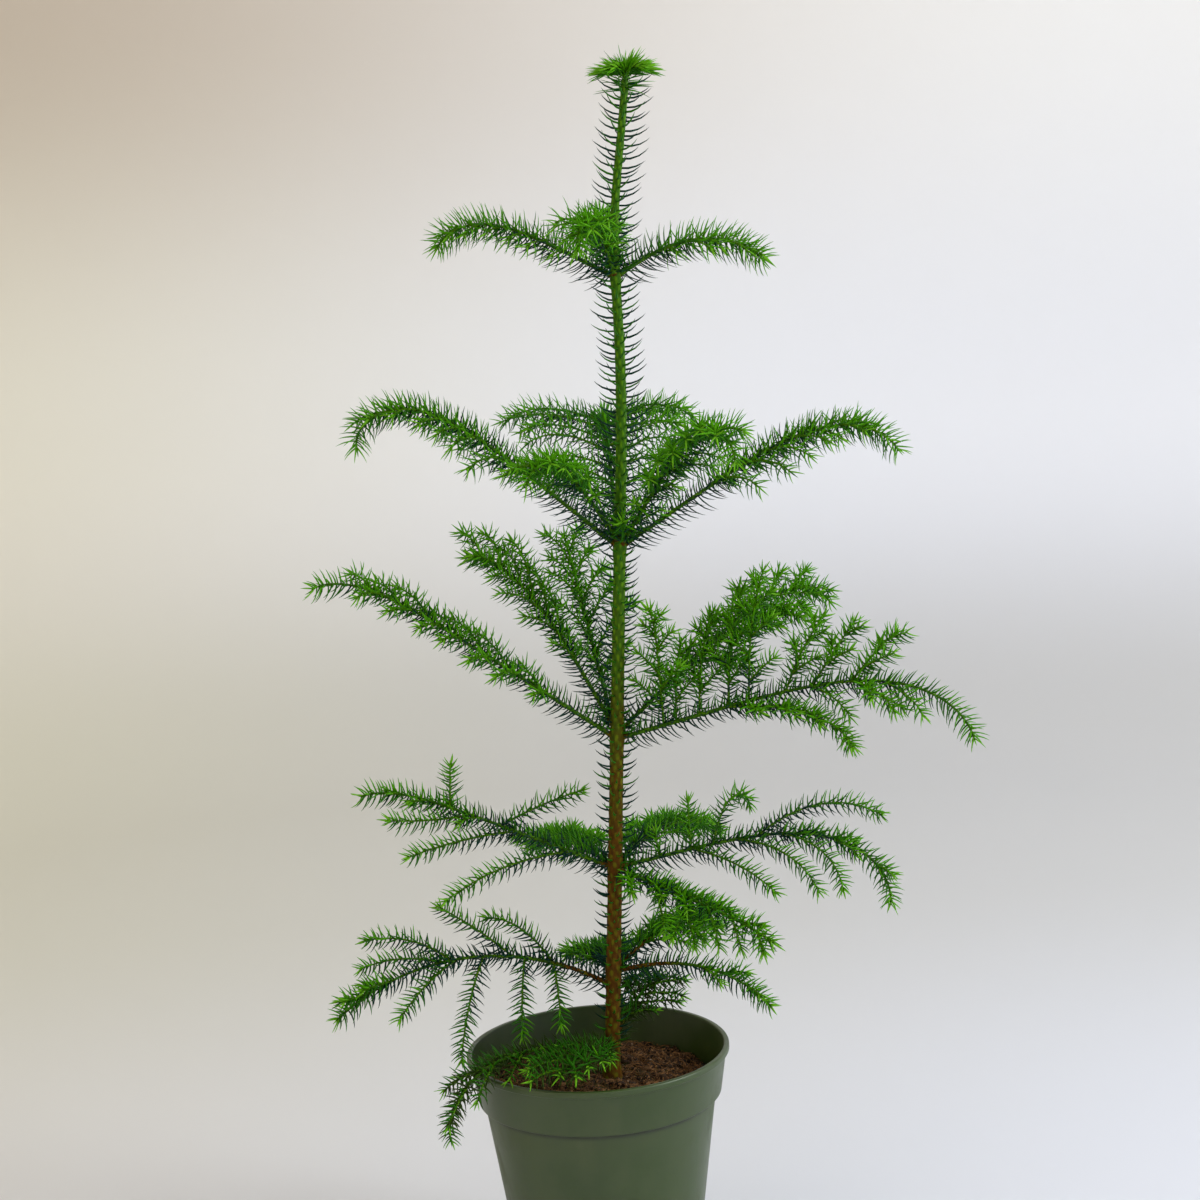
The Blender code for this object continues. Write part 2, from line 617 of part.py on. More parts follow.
def build_sleeve(name, low, high):
    """Needles that clothe the trunk between two tiers, on a thin core cut clear of it."""
    count = round((high - low) / SLEEVE_PITCH) + 1
    heights = [low + (high - low) * k / (count - 1) for k in range(count)]
    points = [trunk_point(height) for height in heights]
    bore = [(trunk_radius(height) + GAP) / math.cos(math.pi / TRUNK_SIDES) for height in heights]
    outer = [(radius + SLEEVE_WALL) / math.cos(math.pi / SLEEVE_SIDES) for radius in bore]
    bm, ring_of, ways = bent_cone(points, outer, SLEEVE_SIDES, SHOOT_TWIST, level=True)
    claim_path(name, points, outer)
    raise_needles(bm, ring_of, points, ways, name, TRUNK_NEEDLE_OUT, TRUNK_NEEDLE_UP)
    sleeve = object_from(bm, name, parts)
    past = Vector((0.0, 0.0, 3 * SLEEVE_WALL))
    bore_points = [points[0] - past] + points[1:-1] + [points[-1] + past]
    bm, _, _ = bent_cone(bore_points, bore, TRUNK_SIDES, level=True)
    cutter = object_from(bm, name + "_bore", parts)
    cut = sleeve.modifiers.new("bore", "BOOLEAN")
    cut.operation = "DIFFERENCE"
    cut.object = cutter
    baked(sleeve)
    bpy.data.objects.remove(cutter, do_unlink=True)
    return finish(sleeve, "needles")


def build_rosette():
    """The ring of new shoots on the trunk's tip."""
    node = "spray_top"
    foot = trunk_point(TRUNK_TOP) + Vector((0.0, 0.0, GAP))
    lean = math.degrees(TRUNK_LEAN)
    stem_path = limb_path(foot, 0.0, 90.0 - lean, 90.0 - lean, 1.0, ROSETTE_STEM)
    stem = shoot(node, stem_path, 1.0, ROSETTE_STEM, MAIN_RADIUS, 0,
                 ROSETTE_NEEDLE_OUT, ROSETTE_NEEDLE_OUT, ROSETTE_PITCH)
    branches = []
    for index in range(ROSETTE_SHOOTS):
        azimuth = ROSETTE_TURN + 360 * index / ROSETTE_SHOOTS
        path = limb_path(at(stem_path, 0.55), azimuth, ROSETTE_RISE, ROSETTE_FALL, 1.0, ROSETTE_REACH)
        branches.append(shoot(node, path, 1.0, ROSETTE_REACH, TWIG_RADIUS, BARE_RINGS,
                              ROSETTE_NEEDLE_OUT, NEEDLE_FORWARD, ROSETTE_PITCH))
    return fuse(node, stem, branches)


def build_sleeves():
    names = ("leader", "a_b", "b_c", "c_d", "d_e", "e_f")
    tiers = [TIER_HEIGHT[key] for key in "abcdef"]
    highs = [TRUNK_TOP - 0.001] + [height - SLEEVE_BELOW_TIER for height in tiers[:-1]]
    lows = [height + SLEEVE_ABOVE_TIER for height in tiers]
    for name, low, high in zip(names, lows, highs):
        build_sleeve("needles_" + name, low, high)


def main():
    global parts
    clear_scene()
    parts = new_collection("norfolk_island_pine")
    build_pot()
    build_soil()
    build_trunk()
    for bough in BOUGHS:
        if LIMB_SHARE[bough.tier]:
            build_bough(bough)
    stems = dict(spray_stem(bough) for bough in BOUGHS)
    build_rosette()
    for bough in BOUGHS:
        build_spray(bough, stems)
    build_sleeves()


main()
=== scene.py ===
"""Looks of a young Norfolk Island pine in a round nursery pot, laid out as a Blender add-on."""

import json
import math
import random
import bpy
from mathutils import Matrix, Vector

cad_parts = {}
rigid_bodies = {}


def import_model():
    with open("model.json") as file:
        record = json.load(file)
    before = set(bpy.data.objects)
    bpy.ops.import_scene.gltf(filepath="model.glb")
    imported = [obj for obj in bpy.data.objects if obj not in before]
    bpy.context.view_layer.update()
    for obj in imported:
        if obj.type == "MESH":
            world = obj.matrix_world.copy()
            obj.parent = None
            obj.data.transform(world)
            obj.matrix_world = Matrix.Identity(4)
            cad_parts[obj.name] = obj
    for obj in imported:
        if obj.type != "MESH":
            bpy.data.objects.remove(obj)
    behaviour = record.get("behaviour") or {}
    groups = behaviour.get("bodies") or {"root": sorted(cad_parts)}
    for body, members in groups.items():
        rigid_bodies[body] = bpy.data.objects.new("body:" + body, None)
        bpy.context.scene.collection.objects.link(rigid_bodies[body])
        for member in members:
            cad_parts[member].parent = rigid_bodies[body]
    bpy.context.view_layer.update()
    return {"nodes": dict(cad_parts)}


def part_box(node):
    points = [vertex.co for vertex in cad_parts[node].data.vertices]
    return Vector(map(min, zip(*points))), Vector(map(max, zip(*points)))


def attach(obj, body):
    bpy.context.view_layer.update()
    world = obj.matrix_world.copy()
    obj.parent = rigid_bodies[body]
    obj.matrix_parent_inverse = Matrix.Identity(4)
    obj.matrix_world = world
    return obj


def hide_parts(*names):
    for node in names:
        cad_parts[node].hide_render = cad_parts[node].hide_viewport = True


bl_info = {
    "name": "Potted Norfolk Island pine",
    "version": (1, 0, 0),
    "blender": (4, 5, 0),
    "location": "3D View > Sidebar > Pine",
    "description": "Pot, soil, bark, twigs and needles of a potted conifer, on a paper sweep",
    "category": "Object",
}

from collections import namedtuple

import bmesh
import bpy
import numpy as np
from bpy.props import FloatProperty, FloatVectorProperty, IntProperty, PointerProperty
from mathutils import Matrix, Vector, noise

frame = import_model()
BODY = "root"

# Pot: its height and lip come from the frame, the rest as on the construction pot
POT_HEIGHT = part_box("pot")[1].z
LIP_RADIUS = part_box("pot")[1].x
LIP_HEIGHT = 0.004
BAND_TOP_RADIUS = 0.0808
BAND_FOOT_RADIUS = 0.0764
BAND_FOOT_HEIGHT = 0.1205
BODY_TOP_RADIUS = 0.0728
BODY_TOP_HEIGHT = 0.1190
BASE_RADIUS = 0.0555
BASE_CHAMFER = 0.0020
BODY_SLOPE = (BODY_TOP_RADIUS - BASE_RADIUS) / (BODY_TOP_HEIGHT - BASE_CHAMFER)
POT_WALL = 0.0016
FLOOR_THICKNESS = 0.0020
DRAIN_HOLES = 6
DRAIN_RADIUS = 0.0055
DRAIN_CIRCLE = 0.0400
CORNER_STEPS = 5
SHARP_ANGLE = math.radians(38)

# Soil: each layer of lumps has a rate, a level of the noise and a height
SOIL_HEIGHT = 0.1300
SOIL_EDGE_DROP = 0.0050
SOIL_BUMP = 0.0016
SOIL_PAD_RADIUS = 0.0170
SOIL_PAD_FADE = 0.01
SOIL_PAD_LUMPS = 0.35
SOIL_RIM_DROP = 0.0020
SOIL_LUMPS = ((85.0, 0.0, 0.0042), (230.0, 4.0, 0.0020))
GAP = 0.0003

# Crumbs that lie on the soil: least and most size, how flat, and a seed
Crumbs = namedtuple("Crumbs", "name least most flat seed")
CHIPS = Crumbs("soil_crumbs", 0.0011, 0.0038, 0.60, 31)
FLAKES = Crumbs("soil_flakes", 0.0016, 0.0046, 0.35, 34)
GRAINS = Crumbs("soil_grains", 0.0006, 0.0013, 0.80, 33)
FIBRE_SEED = 32
MOSS_SEED = 35
MOSS_TUFTS = 46
MOSS_BARE_RADIUS = 0.0075
MOSS_OUTER_RADIUS = 0.060

# Trunk: leans one way, with one sway near the top
TRUNK_FOOT_X = 0.0079
TRUNK_LEAN = math.radians(4.0)
TRUNK_SWAY = 0.0060
SWAY_HEIGHT = 0.655
SWAY_SPREAD = 0.065
TRUNK_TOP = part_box("trunk")[1].z
TRUNK_FOOT_RADIUS = 0.0047
TRUNK_TIP_RADIUS = 0.0021
TRUNK_TAPER = 1.4
FLARE = 0.0020
FLARE_HEIGHT = 0.007

# Boughs and twigs
PATH_STEPS = 60
ROOT_STEP = 0.0005
BOUGH_ROOT_RADIUS = 0.0014
BOUGH_TIP_RADIUS = 0.0006
TWIG_ROOT_RADIUS = 0.0008
TWIG_TIP_RADIUS = 0.0004
MIN_TWIG = 0.010
TWIG_SWEEP = 18.0
FINE_BOUGHS = (("c", "right"), ("c", "back_right"), ("d", "front_right"))
ROOT_TWIGS = (("d", "front_right"), ("b", "front_right"))
ROOT_TWIGS_END = 0.6
FINE_FROM = 0.036
FINE_PITCH = 0.0110
FINE_REACH = 0.0260
FINE_DROP = 18.0
TWIG_BEND = 1.5
POT_CLEARANCE = 0.0012

# Bark: rings and sides of its meshes, the swelling at each tier, and its cushions
TRUNK_RINGS = 620
TRUNK_SIDES = 26
TRUNK_IN_SOIL = 0.006
TRUNK_WIDEST = 0.0072
TRUNK_OLD_HEIGHT = 0.20
TRUNK_AGEING = 0.33
KNOT_SWELL = 0.0006
KNOT_SPREAD = 0.006
BOUGH_RING_PITCH = 0.0011
BOUGH_SIDES = 8
BOUGH_IN_TRUNK = 0.0012
COLLAR_SWELL = 0.0007
COLLAR_SPREAD = 0.003
BOUGH_OLD_LENGTH = {"a": 0.002, "b": 0.004, "c": 0.005, "d": 0.008, "e": 0.045, "f": 0.020}
TWIG_RING_PITCH = 0.0035
TWIG_SIDES = 6
TWIG_YOUTH = 0.72
CUSHION_LENGTH = 0.0030
CUSHION_RIM = 0.6
CUSHION_WIDTH = 0.42

# Rosette on the trunk's tip
ROSETTE_SHOOTS = 5
ROSETTE_STEM = 0.0080
ROSETTE_LEAN = 58
ROSETTE_REACH = 0.0150
ROSETTE_RISE = 30
ROSETTE_FALL = -15
ROSETTE_TURN = 18
ROSETTE_FORK = 0.45
ROSETTE_SEED = 51

# Height of each tier of boughs
TIER_HEIGHT = {"a": 0.6260, "b": 0.4630, "c": 0.3450, "d": 0.2635, "e": 0.1970, "f": 0.1500}
TIER_GROUP = {"a": "upper", "b": "upper", "c": "middle", "d": "lower", "e": "lower", "f": "lower"}
GROUP_TIERS = {"upper": "ab", "middle": "c", "lower": "def"}
GROUP_SLEEVES = {"upper": ("leader", "a_b"), "middle": ("b_c", "c_d"), "lower": ("d_e", "e_f")}

# A fan is one row of side twigs: how many, where along the bough it starts and ends, its longest
# reach, where that falls, the reach left at the end, and the twigs' splay, lift and final droop
Fan = namedtuple("Fan", "count first last reach peak tip splay lift drop")

# A strong twig is one long side shoot: place along the bough, turn, rise, fall, bend, length
Strong = namedtuple("Strong", "place turn rise fall bend length")

# A bough: tier, name, azimuth, first slope, last slope, bend, length, left fan, right fan (none
# where it is as the left one), seed, strong twigs, and how far it starts above its tier
Bough = namedtuple("Bough", "tier side azimuth rise fall bend length left right seed strong step",
                   defaults=((), 0.0))

BOUGHS = (
    Bough("a", "left", 176, 30, -65, 4.0, 0.120,
          Fan(6, .30, .88, .020, .5, .5, 55, -10, -50),
          Fan(6, .30, .88, .020, .5, .5, 55, 10, -40), 1),
    Bough("a", "right", 8, 32, -45, 1.7, 0.100,
          Fan(5, .30, .86, .019, .5, .5, 55, 10, -40),
          Fan(5, .30, .86, .019, .5, .5, 55, -5, -50), 2),
    Bough("a", "front", 250, 46, -95, 2.75, 0.086,
          Fan(5, .28, .85, .024, .5, .5, 60, 15, -35), None, 3),
    Bough("a", "back", 96, 42, -60, 3.0, 0.100,
          Fan(5, .28, .85, .022, .5, .5, 60, 10, -35), None, 4),
    Bough("b", "left", 186, 42, -98, 5.5, 0.200,
          Fan(7, .34, .86, .040, .35, .4, 55, 5, -35),
          Fan(7, .34, .86, .034, .4, .45, 55, 15, -40), 5),
    Bough("b", "right", 4, 31, -62, 4.6, 0.198,
          Fan(7, .34, .86, .034, .4, .45, 55, 15, -40),
          Fan(7, .34, .86, .038, .35, .4, 55, 0, -45), 6),
    Bough("b", "front_right", 303, 43, -95, 5.2, 0.154,
          Fan(6, .34, .84, .036, .4, .5, 58, 15, -30), None, 7),
    Bough("b", "front_left", 236, 44, -60, 4.0, 0.118,
          Fan(5, .36, .84, .030, .4, .5, 58, 20, -30), None, 8, step=0.003),
    Bough("b", "back", 92, 44, -42, 4.0, 0.158,
          Fan(8, .26, .88, .086, .8, .75, 78, 10, -25), None, 9),
    Bough("c", "left", 188, 37, -22, 8.0, 0.214,
          Fan(7, .24, .82, .032, .4, .5, 58, 10, -20),
          Fan(7, .24, .82, .042, .4, .4, 60, 35, 10), 10),
    Bough("c", "back_left", 150, 59, -3, 3.8, 0.156,
          Fan(6, .34, .90, .034, .5, .6, 50, 30, 0), Fan(7, .30, .90, .048, .5, .6, 50, 45, 10), 11,
          step=0.004),
    Bough("c", "back", 106, 53, 50, 3.0, 0.152,
          Fan(5, .30, .90, .050, .4, .5, 50, 45, 0),
          Fan(6, .22, .90, .056, .4, .5, 62, 26, -4), 12),
    Bough("c", "right", 348, 15, -77, 4.3, 0.237,
          Fan(4, .17, .40, .102, .27, .2, 92, 62, 40),
          Fan(3, .50, .70, .042, .4, .6, 45, -10, -70), 13,
          (Strong(.13, -98, 84, 30, 5, .080), Strong(.30, -15, 4, -60, 2.2, .090),
           Strong(.46, 58, 56, 30, 1.2, .060), Strong(.53, 40, 50, 44, 1, .050),
           Strong(.63, 38, 42, 34, 1, .044))),
    Bough("c", "back_right", 31, 33, -52, 5.2, 0.194,
          Fan(6, .34, .88, .036, .4, .6, 50, 30, 15),
          Fan(6, .30, .82, .056, .4, .25, 50, 6, -16), 14,
          step=0.003),
    Bough("d", "left", 184, 25, -18, 8.0, 0.166,
          Fan(2, .54, .84, .020, .4, .6, 42, -4, -25),
          Fan(2, .54, .84, .018, .4, .6, 50, 10, -10), 15,
          (Strong(.18, 24, 4, -28, 1.2, .090), Strong(.40, 14, 2, -14, 1, .070),
           Strong(.58, 12, -4, 10, 1, .052), Strong(.46, -150, 17, 4, 1, .064),
           Strong(.66, -100, 76, 60, 1, .028))),
    Bough("d", "right", 8, 9, -95, 3.4, 0.205,
          Fan(2, .58, .74, .026, .4, .6, 40, 6, -30),
          Fan(2, .64, .84, .024, .4, .6, 40, -10, -50), 16,
          (Strong(.45, 14, 30, -36, 1.2, .096), Strong(.52, -26, -4, -86, 1.1, .058),
           Strong(.38, -30, -2, -70, 1.3, .066), Strong(.24, -34, -8, -44, 1.2, .062),
           Strong(.24, 82, 72, 60, 1, .032), Strong(.31, 40, 64, -85, 2.2, .058),
           Strong(.14, 92, 62, 50, 1, .018))),
    Bough("d", "front_right", 312, -8, -22, 4.0, 0.134,
          Fan(4, .25, .88, .022, .45, .6, 40, 0, -30),
          Fan(5, .20, .90, .044, .45, .15, 42, -22, -80), 17),
    Bough("d", "back_left", 118, 12, -30, 2.0, 0.110,
          Fan(5, .25, .90, .040, .4, .5, 55, 5, -30), None, 18),
    Bough("d", "back_right", 62, 15, -40, 2.0, 0.130,
          Fan(5, .25, .90, .042, .4, .5, 55, 5, -30), None, 19),
    Bough("e", "left", 186, 33, -41, 1.12, 0.186,
          Fan(2, .76, .90, .028, .4, .6, 40, 5, -20),
          Fan(2, .74, .90, .026, .4, .6, 40, 10, -20), 20,
          (Strong(.36, -28, 38, 24, 1, .058), Strong(.22, -32, 52, -8, 1.6, .056),
           Strong(.57, -24, 42, -14, .8, .060), Strong(.60, -8, 18, -22, 1, .052),
           Strong(.55, 24, -22, -50, 1, .052), Strong(.46, 42, -56, -80, 1, .066),
           Strong(.32, 62, -66, -90, 1, .050), Strong(.22, 98, -60, -90, 1, .040)),
          step=-0.009),
    Bough("e", "right", 352, 15, -52, 1.3, 0.107,
          Fan(2, .40, .80, .020, .4, .6, 50, 10, -30),
          Fan(2, .40, .80, .020, .4, .6, 50, 0, -50), 21),
    Bough("e", "back_left", 98, 5, -40, 2.0, 0.090,
          Fan(5, .28, .90, .040, .4, .5, 55, 0, -30), None, 22),
    Bough("e", "back_right", 40, 29, -14, 1.5, 0.084,
          Fan(5, .28, .90, .036, .4, .5, 50, 10, -30),
          Fan(5, .28, .90, .036, .4, .5, 50, 0, -35), 23),
    Bough("f", "left", 214, 13, -100, 2.9, 0.146,
          Fan(4, .30, .84, .036, .6, .7, 46, 0, -60),
          Fan(3, .44, .64, .038, .6, .7, 56, -8, -40), 25),
    Bough("f", "front", 247, 24, -16, 1.5, 0.086,
          Fan(5, .25, .90, .036, .5, .6, 55, 10, -20),
          Fan(5, .25, .90, .040, .5, .6, 55, 10, -20), 26,
          step=-0.003),
    Bough("f", "back", 62, 30, 0, 1.5, 0.076,
          Fan(5, .25, .90, .034, .5, .6, 55, 10, -20),
          Fan(5, .25, .90, .036, .5, .6, 55, 0, -30), 27),
)

# A shoot is any needled stem. First and last are the shares of its path where it starts and ends
Shoot = namedtuple("Shoot", "group tier rank path length first last seed")

GOLDEN_ANGLE = math.pi * (3.0 - math.sqrt(5.0))

# Camera of the reference view, worked out from the pot's rim and the plant's height
CAMERA_PLACE = (0.0, -1.27467, 0.59245)
CAMERA_DOWN = math.radians(7.185)
CAMERA_ROLL = math.radians(-3.260)
CAMERA_YAW = math.radians(0.780)
CAMERA_LENS = 63.0
CAMERA_SENSOR = 36.0

# Lights: where each one hangs, its size and colour, both aimed at the plant's middle
Lamp = namedtuple("Lamp", "name place size colour")
KEY = Lamp("key", (2.15, -0.5, 1.75), 1.2, (0.90, 0.95, 1.0))
FILL = Lamp("fill", (-1.7, -1.0, 1.3), 2.8, (1.0, 0.90, 0.74))
LAMP_AIM = Vector((0.0, 0.0, 0.35))
ROOM_COLOUR = (0.94, 0.96, 1.0, 1.0)

# Paper sweep: the stretches over which its colours, with painted light and shade, change along X, Y
# and Z
PAPER_LEVEL = -0.0005
PAPER_BEND_STEPS = 24
PAPER_STEPS = 96
PAPER_SIDE = (-1.4, 0.5)
PAPER_TOP_SIDE = (-1.1, 1.1)
PAPER_BACK_SHADE = (0.0, 0.9)
PAPER_BACK_SHADE_FADE = (0.02, 0.40)
PAPER_WALL = (0.05, 0.45)
PAPER_TOP = (0.5, 1.2)


def colour_property(name, description, default):
    return FloatVectorProperty(name=name, description=description, subtype="COLOR", size=3,
                               min=0.0, max=1.0, default=default)


def length_property(name, description, default):
    return FloatProperty(name=name, description=description, default=default, min=0.0,
                         subtype="DISTANCE", unit="LENGTH", precision=5)


def share_property(name, description, default):
    return FloatProperty(name=name, description=description, default=default, min=0.0, max=1.0,
                         subtype="FACTOR")


class PineStageSettings(bpy.types.PropertyGroup):
    """Paper sweep and lights."""
    # These paper colours hold painted light: warm on the left and cool on the right, painted shade
    # on the floor behind the pot, and the wall lighter than the floor, darker at the top left and
    # brighter at the top right.
    warm: colour_property("Warm floor", "Paper colour in front, left", (0.71, 0.66, 0.56))
    cool: colour_property("Cool floor", "Paper colour in front, right", (0.71, 0.725, 0.78))
    warm_back_shade: colour_property("Warm back", "Paper colour behind the pot, left",
                               (0.69, 0.655, 0.50))
    cool_back_shade: colour_property("Cool back", "Paper colour behind the pot, right",
                               (0.59, 0.59, 0.59))
    warm_wall: colour_property("Warm wall", "Paper colour on the wall, left", (0.77, 0.72, 0.57))
    cool_wall: colour_property("Cool wall", "Paper colour on the wall, right", (0.885, 0.90, 0.95))
    warm_top: colour_property("Warm top", "Paper colour at the top left", (0.57, 0.485, 0.385))
    cool_top: colour_property("Cool top", "Paper colour at the top right", (1.0, 1.0, 1.0))
    floor_radius: length_property("Floor radius", "Flat part of the round paper sweep", 1.45)
    bend_radius: length_property("Bend radius", "Curve between floor and wall", 1.0)
    wall_height: length_property("Wall height", "Top of the paper sweep", 3.2)
    key_power: FloatProperty(name="Key light", description="Watts of the cool light", default=46.0)
    fill_power: FloatProperty(name="Fill light", description="Watts of the warm light", default=9.0)
    sky: FloatProperty(name="Room light", description="Strength of the light from all round",
                       default=0.82)


class PinePotSettings(bpy.types.PropertyGroup):
    """Nursery pot."""
    steps: IntProperty(name="Steps", description="Steps round the pot", default=144, min=24,
                       max=360)
    dark: colour_property("Plastic, dark", "Darker tone of the moulded plastic",
                          (0.021, 0.045, 0.0020))
    light: colour_property("Plastic, light", "Lighter tone of the moulded plastic",
                           (0.030, 0.058, 0.0030))
    dust: colour_property("Dust", "Dust and dried water marks", (0.20, 0.21, 0.13))
    # Colour of the painted shade: a dark line in the corner under the band, where the band's step
    # would cast its shadow.
    painted_band_shade: colour_property("Band shade", "Painted shade in the corner under the band", (0.008, 0.012, 0.003))
    dust_share: share_property("Dust share", "How much of the plastic the dust hides", 0.14)


class PineSoilSettings(bpy.types.PropertyGroup):
    """Peat mix in the pot."""
    chips: IntProperty(name="Chips", description="Crumbs and bark chips", default=1500, min=0,
                       max=6000)
    fibres: IntProperty(name="Fibres", description="Peat fibres", default=1250, min=0, max=6000)
    grains: IntProperty(name="Grains", description="Pale grains", default=150, min=0, max=2000)
    dark: colour_property("Peat, dark", "Damp peat", (0.010, 0.006, 0.004))
    light: colour_property("Peat, light", "Dry peat", (0.055, 0.027, 0.011))
    fibre: colour_property("Fibre", "Dry fibres", (0.270, 0.130, 0.046))
    grain: colour_property("Grain", "Pale grains", (0.45, 0.40, 0.32))
    flakes: IntProperty(name="Flakes", description="Orange bark flakes", default=340, min=0,
                        max=2000)
    blades: IntProperty(name="Moss", description="Blades of moss near the trunk", default=1500,
                        min=0, max=6000)
    moss_dark: colour_property("Moss, dark", "Older moss", (0.022, 0.030, 0.004))
    moss_light: colour_property("Moss, light", "Fresh moss", (0.085, 0.100, 0.012))


class PineBarkSettings(bpy.types.PropertyGroup):
    """Bark of trunk, boughs and twigs."""
    relief: length_property("Relief", "Height of the cushions under the needles", 0.00030)
    old: colour_property("Old furrow", "Bark between the cushions low on the trunk",
                         (0.125, 0.046, 0.003))
    scar: colour_property("Scars", "Darkest bark and leaf scars", (0.046, 0.020, 0.002))
    olive: colour_property("Old cushion", "Cushions low on the trunk", (0.072, 0.098, 0.004))
    # Painted highlight: a light gold tone speckled on the cushions low on the trunk.
    cushion_highlight: colour_property("Lit cushion", "Painted highlights on cushions low on the trunk",
                          (0.150, 0.118, 0.004))
    young: colour_property("Young furrow", "Bark between the cushions on young stems",
                           (0.038, 0.125, 0.003))
    pale: colour_property("Young cushion", "Cushions on young stems", (0.100, 0.245, 0.002))


class PineNeedleSettings(bpy.types.PropertyGroup):
    """Needles."""
    width: length_property("Width", "Full width of a needle at its foot", 0.00134)
    thickness: length_property("Thickness", "Full thickness of a needle at its foot", 0.00106)
    bough_pitch: length_property("Bough pitch", "Stem length per needle on a bough", 0.00066)
    twig_pitch: length_property("Twig pitch", "Stem length per needle on a twig", 0.00076)
    # The deep colour is partly old needles and partly painted shade: needles facing down, and trunk
    # needles turned away from the front, get it too.
    deep: colour_property("Deep", "Old needles inside the crown", (0.007, 0.042, 0.026))
    mossy: colour_property("Mossy", "Old needles just over the soil", (0.030, 0.062, 0.007))
    green: colour_property("Green", "Grown needles", (0.027, 0.150, 0.004))
    fresh: colour_property("Fresh", "This year's needles", (0.082, 0.320, 0.002))
    tip: colour_property("Tip", "Needles that close round a bud", (0.150, 0.420, 0.012))


# Rule for where a limb runs
def clamped(value):
    return min(max(value, 0.0), 1.0)


def even(low, high, count):
    """Even steps from one value to another, both ends included."""
    return [low + (high - low) * k / (count - 1) for k in range(count)]


def tapered(root, tip, share):
    return root + (tip - root) * share


def trunk_point(height):
    """Centre of the trunk at a height."""
    sway = TRUNK_SWAY * math.exp(-((height - SWAY_HEIGHT) / SWAY_SPREAD) ** 2)
    lean = (height - SOIL_HEIGHT) * math.tan(TRUNK_LEAN)
    return Vector((TRUNK_FOOT_X + lean - sway, 0.0, height))


def trunk_radius(height):
    up = clamped((height - SOIL_HEIGHT) / (TRUNK_TOP - SOIL_HEIGHT))
    taper = TRUNK_FOOT_RADIUS - (TRUNK_FOOT_RADIUS - TRUNK_TIP_RADIUS) * up ** TRUNK_TAPER
    return taper + FLARE * math.exp(-(height - SOIL_HEIGHT) / FLARE_HEIGHT)


def limb_path(root, azimuth, rise, fall, bend, length, sweep=0.0):
    """Points of a limb whose slope turns from rise to fall, in even steps."""
    points = [Vector(root)]
    for step in range(PATH_STEPS):
        t = (step + 0.5) / PATH_STEPS
        slope = math.radians(rise + (fall - rise) * t ** bend)
        turn = math.radians(azimuth + sweep * t)
        flat = math.cos(slope)
        way = Vector((flat * math.cos(turn), flat * math.sin(turn), math.sin(slope)))
        points.append(points[-1] + way * (length / PATH_STEPS))
    return points


def at(path, t):
    """Point at share t of a path."""
    place = clamped(t) * (len(path) - 1)
    step = min(int(place), len(path) - 2)
    return path[step].lerp(path[step + 1], place - step)


def stretch(path, first, last, count):
    return [at(path, t) for t in even(first, last, count)]


def fan_reach(fan, t):
    """Share of a fan's longest reach that a twig at t has."""
    if t < fan.peak:
        return 0.55 + 0.45 * (t - fan.first) / max(fan.peak - fan.first, 0.01)
    return 1.0 - (1.0 - fan.tip) * (t - fan.peak) / (1.0 - fan.peak)


def twig_paths(bough, main):
    """Side twigs of a bough: two fans by a seeded rule, then its strong shoots."""
    draw = random.Random(bough.seed)
    twigs = []
    for hand, fan in ((1, bough.left), (-1, bough.right or bough.left)):
        for index in range(fan.count):
            along = (index + (0.5 if hand < 0 else 0.0)) / (fan.count - 0.5)
            t = fan.first + (fan.last - fan.first) * along + draw.uniform(-0.012, 0.012)
            length = fan.reach * fan_reach(fan, t) * draw.uniform(0.82, 1.12)
            slope = bough.rise + (bough.fall - bough.rise) * t ** bough.bend
            lift = fan.lift + 0.5 * slope + draw.uniform(-7, 7)
            drop = fan.drop + draw.uniform(-10, 10)
            azimuth = bough.azimuth + hand * fan.splay * (1.1 - 0.35 * t)
            path = limb_path(at(main, t), azimuth, lift, drop, TWIG_BEND, length,
                             -hand * TWIG_SWEEP)
            twigs.append((path, length))
    for strong in bough.strong:
        path = limb_path(at(main, strong.place), bough.azimuth + strong.turn,
                         strong.rise, strong.fall, strong.bend, strong.length)
        twigs.append((path, strong.length))
    return twigs


def finer_paths(path, span, last, seed):
    """Short side twigs of a long twig, in two rows as level as the twig allows."""
    draw = random.Random(seed)
    count = int(span / FINE_PITCH)
    found = []
    for index in range(1, count):
        t = last * (index + draw.uniform(-0.25, 0.25)) / count
        way = (at(path, t + 0.03) - at(path, t)).normalized()
        side = Vector((way.y, -way.x, 0.0)).normalized() * (1 if index % 2 else -1)
        aim = (way * 0.80 + side * draw.uniform(0.45, 0.70)).normalized()
        rise = math.degrees(math.asin(aim.z))
        reach = FINE_REACH * (1.0 - 0.6 * t) * draw.uniform(0.75, 1.1)
        azimuth = math.degrees(math.atan2(aim.y, aim.x))
        fine = limb_path(at(path, t), azimuth, rise, rise - FINE_DROP, TWIG_BEND, reach)
        found.append((fine, reach))
    return found


def bough_main(bough):
    """A bough's whole path, and the share of it where it leaves the trunk's surface."""
    root = trunk_point(TIER_HEIGHT[bough.tier] + bough.step)
    path = limb_path(root, bough.azimuth, bough.rise, bough.fall, bough.bend, bough.length)
    share, point = 0.0, root
    while (point - trunk_point(point.z)).length < trunk_radius(point.z):
        share += ROOT_STEP
        point = at(path, share)
    return path, share


def soil_top(radius):
    """Height of the soil without its lumps, at one or many distances from the axis."""
    return SOIL_HEIGHT - SOIL_EDGE_DROP * np.minimum(radius / BODY_TOP_RADIUS, 1.0) ** 2


